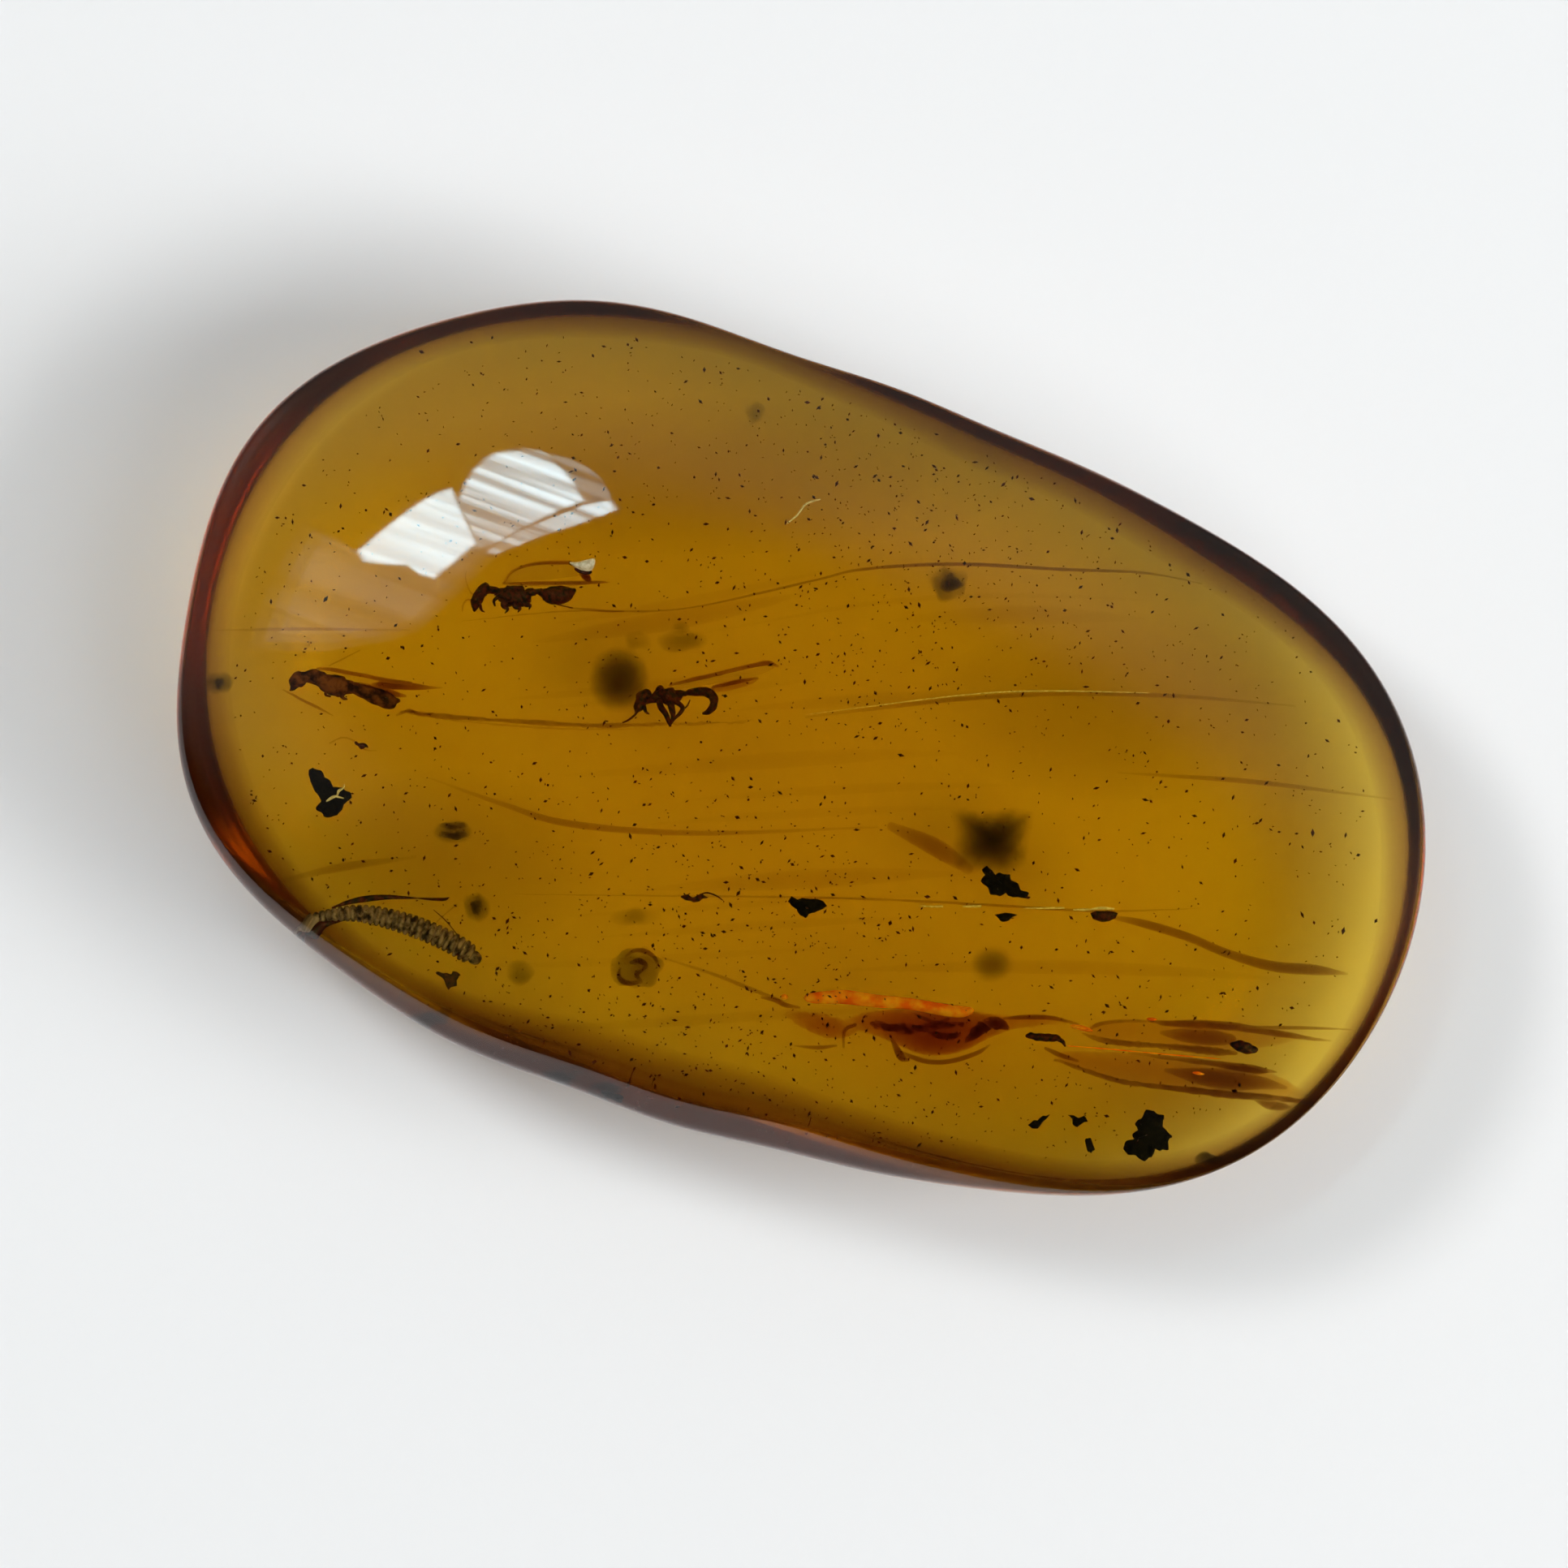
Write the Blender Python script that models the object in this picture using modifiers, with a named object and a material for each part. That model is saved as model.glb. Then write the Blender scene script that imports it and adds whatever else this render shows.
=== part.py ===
"""A polished, free-form piece of amber with three small wasps, a winged termite, a millipede and
bits of bark and droppings sealed in it.

The stone lies on its flat back at z = 0, with its long side along X. It is parted in two halves at
a level plane, so that every inclusion sits in a pocket that opens on that plane. The resin set in
layers that run across the stone at an angle to its long side, and all that it caught is laid out in
the layers' own frame, whose x runs along them. Sizes below are in millimetres.
"""

import math

import bmesh
import bpy
import numpy as np

MM = 0.001

# The stone: how far its widest line is from the middle, every 15 degrees from +X towards +Y.
WIDEST = [14.0, 13.8, 12.8, 11.0, 9.5, 8.7, 8.5, 8.7, 9.6, 11.1, 12.5, 13.7,
          13.9, 13.6, 12.7, 11.0, 9.7, 8.7, 8.4, 8.4, 9.0, 10.2, 12.0, 13.4]
# Every 30 degrees: how far the domed face's edge and the underside's edge lie inside that line, and
# how high that line is.
FACE_INSET = [0.15, 0.15, 0.15, 0.12, 0.12, 0.15, 0.2, 0.4, 0.65, 0.75, 0.75, 0.2]
BACK_INSET = [0.7, 1.1, 1.3, 0.8, 0.7, 1.0, 1.1, 1.3, 1.0, 0.9, 0.9, 0.8]
WIDEST_HEIGHT = [3.6, 3.8, 3.9, 3.7, 3.7, 3.8, 3.8, 3.5, 3.1, 2.9, 2.9, 3.4]
THICKNESS = 6.2
DOME_RADIUS_LONG = 70.0  # the domed face's radius along the stone and across it
DOME_RADIUS_ACROSS = 26.0
BACK_EDGE_HEIGHT = 1.2  # where the steep flank turns into the shallow curve of the back
BACK_CURVE = 4.2  # how far in that curve runs before the back is flat
FACE_CORNER, WIDEST_CORNER, BACK_CORNER = 0.25, 0.2, 0.5  # how far each edge's rounding reaches
STONE_SEGMENTS = 64
MIDDLE = (0.0545, 0.0395, 0.0)  # the middle of the stone's box, which is put at the origin

PARTING_HEIGHT = 3.4
GAP = 0.3
LAYER_ANGLE = math.radians(21)  # between the resin's layers and the stone's long side


def collection(name):
    made = bpy.data.collections.new(name)
    bpy.context.scene.collection.children.link(made)
    return made


for old in list(bpy.data.objects):
    bpy.data.objects.remove(old, do_unlink=True)
specimen = collection("insect_in_amber")
helpers = collection("helpers")

layers = bpy.data.objects.new("resin_layers", None)
layers.rotation_euler.z = LAYER_ANGLE
layers.location = [-value * MM for value in MIDDLE]
specimen.objects.link(layers)


def finish(name, colour, roughness, transmission=0.0):
    material = bpy.data.materials.new(name)
    material.use_nodes = True
    shader = material.node_tree.nodes["Principled BSDF"]
    shader.inputs["Base Color"].default_value = (*colour, 1.0)
    shader.inputs["Roughness"].default_value = roughness
    shader.inputs["Metallic"].default_value = 0.0
    shader.inputs["Transmission Weight"].default_value = transmission
    return material


AMBER = finish("clear_amber", (0.80, 0.42, 0.05), 0.05, transmission=1.0)
CHITIN = finish("dark_chitin", (0.045, 0.010, 0.004), 0.35)
TERMITE = finish("red_brown_chitin", (0.20, 0.050, 0.010), 0.35)
SILVERED = finish("silvered_cuticle", (0.22, 0.18, 0.13), 0.4)
BARK = finish("black_bark", (0.008, 0.007, 0.006), 0.8)
DROPPINGS = finish("insect_droppings", (0.07, 0.06, 0.03), 0.8)


# ---------------------------------------------------------------- the stone

def around(values, angle):
    """The smooth closed curve through values that are evenly spaced round the stone."""
    waves = np.fft.rfft(values) / len(values)
    total = np.full_like(angle, waves[0].real)
    for turn in range(1, len(waves)):
        share = 1.0 if 2 * turn == len(values) else 2.0
        total += share * (waves[turn] * np.exp(1j * turn * angle)).real
    return total


def bend(start, corner, end):
    """Three points along a corner that is rounded by a parabola from start to end."""
    u = np.linspace(0, 1, 3)[:, None, None]
    return (1 - u) ** 2 * start + 2 * u * (1 - u) * corner + u ** 2 * end


def towards(start, end, length):
    """The point at this length along the line from start to end, or just short of its middle."""
    step = end - start
    whole = np.hypot(*step)
    return start + step * np.minimum(length, 0.45 * whole) / whole


def stone_section(angle):
    """The stone's outline in the upright plane at each angle, from the top's middle to the back's.

    It returns (rings, 2, angles): the distance from the middle, and the height.
    """
    widest = around(WIDEST, angle)
    face_edge = widest - around(FACE_INSET, angle)
    back_edge = widest - around(BACK_INSET, angle)
    height = around(WIDEST_HEIGHT, angle)
    curve = (np.cos(angle) ** 2 / DOME_RADIUS_LONG + np.sin(angle) ** 2 / DOME_RADIUS_ACROSS) / 2

    leaves = face_edge - FACE_CORNER
    dome = [np.stack([leaves * u, THICKNESS - curve * (leaves * u) ** 2]) for u in (0, .3, .55, .75, .9)]
    face_start = np.stack([leaves, THICKNESS - curve * leaves ** 2])
    face = face_start + FACE_CORNER * np.stack([np.ones_like(curve), -2 * curve * leaves])
    middle = np.stack([widest, height])
    into = BACK_CORNER * 0.85  # how far the back's rounded edge reaches along the back
    flat = np.zeros_like(curve)

    def back(inward):
        return BACK_EDGE_HEIGHT * (1 - inward / BACK_CURVE) ** 2 + flat

    tangent = 2 * BACK_EDGE_HEIGHT / BACK_CURVE * (1 - into / BACK_CURVE)
    corner = np.stack([back_edge, back(into) + tangent * into])
    back_start = np.stack([back_edge - into, back(into)])
    curved_back = [np.stack([back_edge - reach, back(reach)]) for reach in (1.3, 2.3, 3.2)]
    level = [np.stack([back_edge - BACK_CURVE, flat]), np.stack([flat, flat])]
    return np.concatenate([
        dome,
        bend(face_start, face, towards(face, middle, FACE_CORNER)),
        bend(towards(middle, face, WIDEST_CORNER), middle, towards(middle, corner, WIDEST_CORNER)),
        bend(towards(corner, middle, BACK_CORNER), corner, back_start),
        curved_back,
        level,
    ])


def stone_half(name, cut_from, cut_to):
    """The whole stone from a sphere's rings, less what lies between two heights."""
    rings = len(stone_section(np.zeros(1)))
    sphere = bmesh.new()
    bmesh.ops.create_uvsphere(sphere, u_segments=STONE_SEGMENTS, v_segments=rings - 1, radius=1.0)
    mesh = bpy.data.meshes.new(name)
    sphere.to_mesh(mesh)
    sphere.free()
    unit = np.empty(len(mesh.vertices) * 3)
    mesh.vertices.foreach_get("co", unit)
    unit = unit.reshape(-1, 3)
    angle = np.arctan2(unit[:, 1], unit[:, 0])
    ring = np.rint(np.arccos(np.clip(unit[:, 2], -1, 1)) / math.pi * (rings - 1)).astype(int)
    reach, height = stone_section(angle)[ring, :, np.arange(len(angle))].T
    placed = (np.stack([reach * np.cos(angle), reach * np.sin(angle), height], axis=1) - MIDDLE) * MM
    mesh.vertices.foreach_set("co", placed.ravel())
    mesh.shade_smooth()
    mesh.materials.append(AMBER)
    half = bpy.data.objects.new(name, mesh)
    specimen.objects.link(half)
    cut_away(half, block(name + "_rest", 40, cut_from, cut_to))
    return half


# ---------------------------------------------------------------- helpers for the pieces

def helper(name, mesh, parent=None):
    made = bpy.data.objects.new(name, mesh)
    made.parent = parent
    made.hide_render = True
    made.display_type = "WIRE"
    helpers.objects.link(made)
    return made


def block(name, side, bottom, top):
    """A square block between two heights."""
    shape = bmesh.new()
    bmesh.ops.create_cube(shape, size=1.0)
    bmesh.ops.scale(shape, vec=(side * MM, side * MM, (top - bottom) * MM), verts=shape.verts)
    bmesh.ops.translate(shape, vec=(0, 0, (top + bottom) / 2 * MM), verts=shape.verts)
    mesh = bpy.data.meshes.new(name)
    shape.to_mesh(mesh)
    shape.free()
    return helper(name, mesh)


def boolean(piece, other, operation):
    modifier = piece.modifiers.new(other.name, "BOOLEAN")
    modifier.operation = operation
    modifier.solver = "EXACT"
    modifier.object = other


def cut_away(piece, cutter):
    boolean(piece, cutter, "DIFFERENCE")


def mesh_of(curve):
    """A curve's mesh, with the loose caps joined to its sides."""
    drawn = bpy.data.objects.new(curve.name, curve)
    bpy.context.scene.collection.objects.link(drawn)
    mesh = bpy.data.meshes.new_from_object(drawn.evaluated_get(bpy.context.evaluated_depsgraph_get()))
    bpy.data.objects.remove(drawn)
    bpy.data.curves.remove(curve)
    shape = bmesh.new()
    shape.from_mesh(mesh)
    bmesh.ops.remove_doubles(shape, verts=shape.verts, dist=1e-7)
    bmesh.ops.recalc_face_normals(shape, faces=shape.faces)
    shape.to_mesh(mesh)
    shape.free()
    mesh.shade_smooth()
    return mesh


def beaded(name, points, resolution):
    """A solid round strand through (x, y, z, radius) points."""
    curve = bpy.data.curves.new(name, "CURVE")
    curve.dimensions = "3D"
    curve.bevel_depth = MM
    curve.bevel_resolution = resolution
    curve.use_fill_caps = True
    spline = curve.splines.new("POLY")
    spline.points.add(len(points) - 1)
    for point, (x, y, z, radius) in zip(spline.points, points):
        point.co = (x * MM, y * MM, z * MM, 1.0)
        point.radius = radius
    return mesh_of(curve)


def flat(name, outline, thickness, height=0.0):
    """A flat sheet with this outline, centred on this height."""
    curve = bpy.data.curves.new(name, "CURVE")
    curve.dimensions = "2D"
    curve.fill_mode = "BOTH"
    curve.extrude = thickness / 2 * MM
    spline = curve.splines.new("POLY")
    spline.points.add(len(outline) - 1)
    spline.use_cyclic_u = True
    for point, (x, y) in zip(spline.points, outline):
        point.co = (x * MM, y * MM, 0.0, 1.0)
    mesh = mesh_of(curve)
    for vertex in mesh.vertices:
        vertex.co.z += height * MM
    return mesh


POCKETS = []


def pocket(name, centre, size, turn, bottom, top, squareness=1.0):
    """An upright well round an inclusion, a box with well rounded ends, open on the parting plane."""
    shape = bmesh.new()
    bmesh.ops.create_cone(shape, cap_ends=True, segments=16, radius1=1.0, radius2=1.0, depth=1.0)
    for vertex in shape.verts:
        for axis in (0, 1):
            vertex.co[axis] = math.copysign(abs(vertex.co[axis]) ** squareness, vertex.co[axis])
    mesh = bpy.data.meshes.new(name)
    shape.to_mesh(mesh)
    shape.free()
    low = min(bottom, PARTING_HEIGHT - GAP)
    high = max(top, PARTING_HEIGHT + GAP)
    well = helper(name, mesh, layers)
    well.location = (centre[0] * MM, centre[1] * MM, (low + high) / 2 * MM)
    well.rotation_euler.z = math.radians(turn)
    well.scale = (size[0] / 2 * MM, size[1] / 2 * MM, (high - low) * MM)
    POCKETS.append(well)


# ---------------------------------------------------------------- the insects

def insect(name, place, material, body, limbs, wings, body_resolution=2, lean=0.0):
    """One fused insect. body and each limb are (x, y, z, radius) points, each wing is
    (outline, thickness, height). place is where its middle lies in the resin's layers."""
    animal = bpy.data.objects.new(name, beaded(name, body, body_resolution))
    animal.data.materials.append(material)
    specimen.objects.link(animal)
    joined = [beaded(f"{name}_limb_{i}", points, 0) for i, points in enumerate(limbs)]
    joined += [flat(f"{name}_wing_{i}", *wing) for i, wing in enumerate(wings)]
    for part in [animal] + [helper(mesh.name, mesh) for mesh in joined]:
        part.parent = layers
        part.location = [value * MM for value in place]
        part.rotation_euler.x = math.radians(lean)
        if part is not animal:
            boolean(animal, part, "UNION")
    return animal


WING = 0.06  # a wing's thickness


def wasps():
    """Three small wasps that lie on their sides, head to the left, with their wings up and back."""
    insect(
        "wasp_upper", (-6.12, 3.59, 4.3), CHITIN,
        body=[(-.76, .04, 0, .05), (-.70, .12, 0, .14), (-.62, .20, 0, .19), (-.53, .20, 0, .15),
              (-.42, .14, 0, .07), (-.32, .11, 0, .09), (-.20, .06, 0, .19), (.02, .03, 0, .23),
              (.25, .05, 0, .20), (.42, .08, 0, .09), (.53, .09, 0, .06), (.64, .06, 0, .11),
              (.84, .02, 0, .19), (1.08, .0, 0, .21), (1.28, .03, 0, .14), (1.40, .06, 0, .04)],
        limbs=[
            [(-.66, .26, .06, .035), (-.86, .38, .08, .03), (-.97, .56, .10, .03), (-.96, .68, .10, .02)],
            [(-.66, .24, -.06, .035), (-.84, .18, -.1, .03), (-1.02, -.18, -.12, .025),
             (-1.0, -.32, -.12, .02)],
            [(-.12, -.04, .08, .05), (-.22, -.26, .14, .045), (-.08, -.36, .16, .03), (-.2, -.44, .18, .02)],
            [(.05, -.06, .08, .05), (.02, -.3, .16, .05), (.18, -.36, .2, .03), (.1, -.46, .2, .02)],
            [(.22, -.06, .06, .05), (.32, -.26, .12, .05), (.46, -.22, .16, .03), (.5, -.38, .2, .02)],
            [(.1, -.02, -.1, .05), (.24, -.3, -.22, .04), (.4, -.36, -.24, .025)],
        ],
        wings=[
            ([(-.14, .12), (-.13, .40), (0, .52), (.24, .64), (.70, .71), (1.16, .74), (1.74, .86),
              (1.84, .74), (1.72, .52), (1.5, .38), (1.1, .32), (.7, .30), (.25, .26), (.06, .12)],
             WING, .08),
            ([(0, .10), (0, .22), (.7, .32), (1.3, .34), (2.1, .31), (1.4, .22), (.8, .16), (.3, .08)],
             WING, -.08),
        ],
    )
    insect(
        "wasp_left", (-9.9, 1.81, 3.5), CHITIN,
        body=[(-.86, -.10, 0, .06), (-.82, .02, 0, .15), (-.72, .08, 0, .18), (-.58, .14, 0, .13),
              (-.46, .14, 0, .08), (-.34, .10, 0, .12), (-.18, .06, 0, .19), (.04, .02, 0, .21),
              (.24, -.02, 0, .17), (.38, -.05, 0, .10), (.50, -.10, 0, .12), (.74, -.20, 0, .18),
              (1.0, -.30, 0, .21), (1.26, -.40, 0, .21), (1.40, -.44, 0, .15)],
        limbs=[
            [(-.84, .06, .05, .03), (-1.0, -.1, .1, .025), (-.6, -.34, .14, .02), (-.02, -.66, .16, .018)],
            [(-.78, .14, -.05, .03), (-.4, .5, -.08, .02), (.2, .7, -.12, .018), (.9, .92, -.14, .015)],
            [(-.05, -.06, .06, .05), (-.04, -.28, .12, .04), (.1, -.36, .14, .025)],
            [(.16, -.08, .06, .05), (.22, -.34, .12, .04), (.38, -.42, .14, .025)],
        ],
        wings=[
            ([(.06, .10), (.28, .22), (.75, .12), (1.2, .02), (2.28, -.1), (1.5, -.2), (.9, -.2), (.3, -.06)],
             WING, .08),
            ([(.02, .06), (.4, .08), (1.3, -.12), (1.9, -.2), (1.2, -.28), (.5, -.14)], WING, -.08),
        ],
        lean=8.0,
    )
    insect(
        "wasp_middle", (-2.78, 1.40, 3.7), CHITIN,
        body=[(-.58, -.16, 0, .07), (-.56, -.06, 0, .16), (-.48, .02, 0, .22), (-.38, .02, 0, .17),
              (-.30, .0, 0, .09), (-.20, .0, 0, .15), (-.04, .0, 0, .24), (.16, .02, 0, .24),
              (.32, .06, 0, .15), (.42, .10, 0, .07), (.52, .12, 0, .08), (.72, .13, 0, .13),
              (.92, .10, 0, .15), (1.04, .0, 0, .14), (1.06, -.14, 0, .12), (.98, -.32, 0, .05)],
        limbs=[
            [(-.56, .1, .05, .03), (-.68, -.04, .1, .025), (-.84, -.3, .12, .02), (-.92, -.46, .12, .015)],
            [(-.1, -.1, .08, .05), (-.2, -.36, .12, .045), (-.08, -.44, .14, .03), (.0, -.56, .14, .02)],
            [(.04, -.12, .08, .05), (.1, -.4, .14, .04), (.08, -.6, .16, .025)],
            [(.2, -.08, .06, .05), (.34, -.3, .12, .045), (.5, -.26, .16, .025), (.56, -.42, .18, .02)],
            [(.24, -.04, -.06, .05), (.44, -.22, -.12, .04), (.62, -.36, -.16, .025), (.74, -.4, -.18, .02)],
        ],
        wings=[
            ([(.1, .14), (.2, .32), (.7, .44), (1.22, .54), (2.3, .72), (2.36, .68), (1.9, .5), (1.2, .36),
              (.7, .22), (.3, .08)], WING, .08),
            ([(.14, .1), (.5, .26), (1.2, .36), (1.95, .42), (1.3, .2), (.7, .12), (.3, .02)], WING, -.08),
        ],
        lean=-8.0,
    )
    pocket("wasp_upper_pocket", (-5.6, 3.78), (3.9, 2.0), 2, 3.8, 4.9, 0.6)
    pocket("wasp_left_pocket", (-9.25, 1.88), (3.9, 2.5), 0, 3.0, 4.0, 0.6)
    pocket("wasp_middle_pocket", (-2.05, 1.47), (4.0, 2.1), 9, 3.2, 4.2, 0.6)


def termite():
    """A winged termite on its side: head left, its wings laid back far past the tail."""
    insect(
        "winged_termite", (4.21, -5.53, 3.15), TERMITE,
        body=[(-3.1, .02, 0, .06), (-3.0, .06, 0, .18), (-2.78, .08, 0, .28), (-2.52, .06, 0, .26),
              (-2.34, .02, 0, .18), (-2.1, .0, 0, .30), (-1.8, -.02, 0, .38), (-1.5, -.06, 0, .42),
              (-1.1, -.12, 0, .48), (-.7, -.12, 0, .46), (-.35, -.06, 0, .36), (.0, .04, 0, .24),
              (.35, .06, 0, .16), (.8, -.08, 0, .15), (1.45, -.12, 0, .12), (1.6, -.13, 0, .05)],
        limbs=[
            [(-2.7, .0, .1, .06), (-3.1, -.02, .16, .05), (-3.2, -.3, .2, .03)],
            [(-3.0, .1, .05, .05), (-3.6, .42, .06, .04), (-4.5, .7, .04, .035), (-5.4, .98, .0, .03)],
            [(-2.0, -.1, .1, .07), (-2.2, -.5, .2, .05), (-1.95, -.72, .22, .035)],
            [(-1.5, -.2, .1, .08), (-1.4, -.66, .2, .06), (-1.1, -.78, .22, .035)],
            [(-.6, -.2, .1, .07), (-.3, -.6, .18, .05), (-.05, -.4, .2, .035)],
            [(-4.0, .62, .02, .06), (-3.4, .66, .04, .16), (-2.6, .58, .04, .17), (-1.9, .50, .04, .17),
             (-1.2, .38, .04, .17), (-.5, .20, .04, .12)],
        ],
        wings=[
            ([(.3, .0), (.9, .14), (2.1, .3), (3.4, .30), (5.1, .27), (6.0, .16), (6.7, 0), (6.0, -.14),
              (5.1, -.34), (3.5, -.28), (2.0, -.18), (1.0, -.12)], WING, .12),
            ([(.6, -.1), (1.5, -.26), (3.0, -.38), (5.0, -.56), (6.0, -.82), (6.2, -1.18), (5.4, -1.28),
              (4.0, -1.14), (2.4, -.88), (1.6, -.6), (1.0, -.28)], WING, -.1),
        ],
        body_resolution=3,
    )
    pocket("termite_body_pocket", (2.6, -5.4), (8.4, 2.5), -6, 2.35, 3.95, 0.6)
    pocket("termite_wing_pocket", (7.85, -5.92), (6.9, 2.4), -6, 2.6, 3.7, 0.55)


SEGMENT = 0.135  # one body ring of the millipede


def millipede():
    """A thin millipede, curved like a sickle: one ring after another, thinner towards its tail."""
    spine = np.array([(-1.95, .13), (-1.2, .20), (-.7, .15), (0, 0), (.55, -.20), (1.1, -.47), (1.58, -.78)])
    runs = np.hypot(*np.diff(spine, axis=0).T)
    along = np.concatenate([[0], np.cumsum(runs)])
    count = int(along[-1] / SEGMENT)
    steps = np.linspace(0, along[-1], 2 * count + 1)
    x = np.interp(steps, along, spine[:, 0])
    bow = np.polynomial.Polynomial.fit(spine[:, 0], spine[:, 1], 4)
    full = 0.10 + 0.13 * np.sin(np.clip(steps / along[-1] * 1.25, 0, 1) * math.pi / 2)
    blunt = np.clip((along[-1] - steps) / 0.2, 0.35, 1) ** 0.5
    ribs = np.where(np.arange(len(steps)) % 2 == 0, 0.86, 1.0)
    points = [(*point, 0.0, radius) for point, radius in zip(zip(x, bow(x)), full * blunt * ribs)]
    animal = bpy.data.objects.new("millipede", beaded("millipede", points, 2))
    animal.data.materials.append(SILVERED)
    animal.parent = layers
    animal.location = (-8.45 * MM, -3.32 * MM, 3.4 * MM)
    specimen.objects.link(animal)
    pocket("millipede_pocket", (-8.5, -3.38), (4.55, 1.6), -14, 2.85, 3.95, 0.6)


# ---------------------------------------------------------------- bark and droppings

def crumb(name, place, thickness, outline, material=BARK):
    """A flake of bark with broken edges, in a round well of its own."""
    mesh = flat(name, outline, thickness)
    mesh.materials.append(material)
    piece = bpy.data.objects.new(name, mesh)
    piece.parent = layers
    piece.location = [value * MM for value in place]
    worn = piece.modifiers.new("worn_edges", "BEVEL")
    worn.width = thickness * 0.28 * MM
    worn.segments = 1
    worn.limit_method = "ANGLE"
    specimen.objects.link(piece)
    reach = 2 * (np.hypot(*np.array(outline).T).max() + GAP)
    half = thickness / 2 + GAP
    pocket(name + "_pocket", place, (reach, reach), 0, place[2] - half, place[2] + half)


def pellet(name, place, size):
    """A dropping: a squashed ball."""
    shape = bmesh.new()
    bmesh.ops.create_uvsphere(shape, u_segments=12, v_segments=8, radius=0.5)
    bmesh.ops.scale(shape, vec=[value * MM for value in size], verts=shape.verts)
    mesh = bpy.data.meshes.new(name)
    shape.to_mesh(mesh)
    shape.free()
    mesh.shade_smooth()
    mesh.materials.append(DROPPINGS)
    piece = bpy.data.objects.new(name, mesh)
    piece.parent = layers
    piece.location = [value * MM for value in place]
    specimen.objects.link(piece)
    across = [value + 2 * GAP for value in size]
    pocket(name + "_pocket", place, across[:2], 0, place[2] - across[2] / 2, place[2] + across[2] / 2)


def crumbs():
    crumb("bark_left", (-9.97, -.48, 3.9), 0.30,
          [(-.45, .46), (-.20, .50), (-.12, .26), (.08, .10), (.42, -.10), (.40, -.30), (.10, -.48),
           (-.16, -.46), (-.26, -.32), (-.20, -.12), (-.36, .06), (-.42, .20)])
    crumb("bark_middle", (.24, -2.99, 4.0), 0.26,
          [(-.42, .06), (-.28, .20), (-.06, .14), (.14, .20), (.40, .16), (.42, .02), (.20, -.10),
           (-.02, -.22), (-.16, -.16), (-.24, -.02)])
    crumb("bark_right", (4.44, -2.58, 4.1), 0.34,
          [(-.46, .44), (-.30, .30), (-.08, .36), (.18, .30), (.34, .10), (.58, -.16), (.56, -.28),
           (.26, -.26), (0, -.20), (-.22, -.30), (-.40, -.16), (-.34, .10), (-.52, .36)])
    crumb("bark_lower_right", (7.63, -7.95, 3.3), 0.36,
          [(-.10, .50), (.10, .54), (.30, .42), (.34, .18), (.50, -.02), (.44, -.26), (.22, -.30),
           (.10, -.50), (-.18, -.46), (-.40, -.42), (-.54, -.22), (-.36, -.02), (-.24, .16), (-.26, .34)])
    crumb("bark_deep", (4.19, -1.77, 1.8), 0.30,
          [(-.56, .52), (.10, .60), (.76, .44), (.56, .02), (.44, -.42), (-.10, -.50), (-.58, -.30),
           (-.92, -.16), (-.64, .14)], DROPPINGS)
    crumb("bark_brown", (-7.43, -4.55, 3.2), 0.18,
          [(-.20, .16), (.20, .10), (.10, -.12), (-.06, -.22)], DROPPINGS)
    pellet("dropping_upper_right", (3.21, 3.73, 2.6), (.56, .5, .44))
    pellet("dropping_left", (-7.32, -1.32, 2.5), (.54, .42, .4))
    pellet("dropping_lower_left", (-6.69, -2.81, 2.4), (.44, .46, .4))
    pellet("dropping_lower", (-3.33, -4.13, 2.8), (.96, .7, .5))
    pellet("dropping_middle", (-3.74, 1.75, 1.7), (.84, .86, .6))
    pellet("dropping_rim", (-12.3, 1.75, 3.4), (.5, .42, .4))


wasps()
termite()
millipede()
crumbs()
for half in (
    stone_half("amber_top", -1.0, PARTING_HEIGHT + GAP / 2),
    stone_half("amber_bottom", PARTING_HEIGHT - GAP / 2, THICKNESS + 1.0),
):
    for well in POCKETS:
        cut_away(half, well)
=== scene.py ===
"""Looks of a polished piece of amber with three small wasps, a winged termite, a millipede, bits of
bark and droppings sealed in it.

The stone lies on its flat back at z = 0, its long side along X. The resin set in layers that run
across the stone at an angle to its long side. All that it caught is laid out in the layers' own
frame, in millimetres, with x along the layers, y across them and z up.
"""

import math

import bpy
import numpy as np
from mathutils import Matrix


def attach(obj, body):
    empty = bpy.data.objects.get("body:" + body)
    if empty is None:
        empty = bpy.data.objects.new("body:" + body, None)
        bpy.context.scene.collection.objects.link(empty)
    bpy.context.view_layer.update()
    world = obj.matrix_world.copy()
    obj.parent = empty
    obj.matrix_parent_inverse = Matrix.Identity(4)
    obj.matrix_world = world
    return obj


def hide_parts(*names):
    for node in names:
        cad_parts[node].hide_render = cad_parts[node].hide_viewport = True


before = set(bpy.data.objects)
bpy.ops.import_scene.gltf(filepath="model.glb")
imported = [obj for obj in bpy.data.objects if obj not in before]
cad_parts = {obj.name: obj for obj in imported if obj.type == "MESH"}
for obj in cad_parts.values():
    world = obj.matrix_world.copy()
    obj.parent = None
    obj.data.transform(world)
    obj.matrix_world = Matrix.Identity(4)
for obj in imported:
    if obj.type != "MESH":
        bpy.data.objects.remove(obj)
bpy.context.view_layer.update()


# ---------------------------------------------------------------- the amber
# One clear piece of fossil resin, sawn to a free form, domed and polished on its face and ground on
# its back. Its steep flanks lean in below the widest line and hold back the light, which makes its
# rim dark.

MM = 0.001
STONE_MIDDLE = np.array([0.0545, 0.0395, 0.0])  # the middle of the stone's box
LAYER_ANGLE = math.radians(21)
IN_LAYERS = (0, 0, 0)  # the place of a piece whose points are in the layers' frame already

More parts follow.
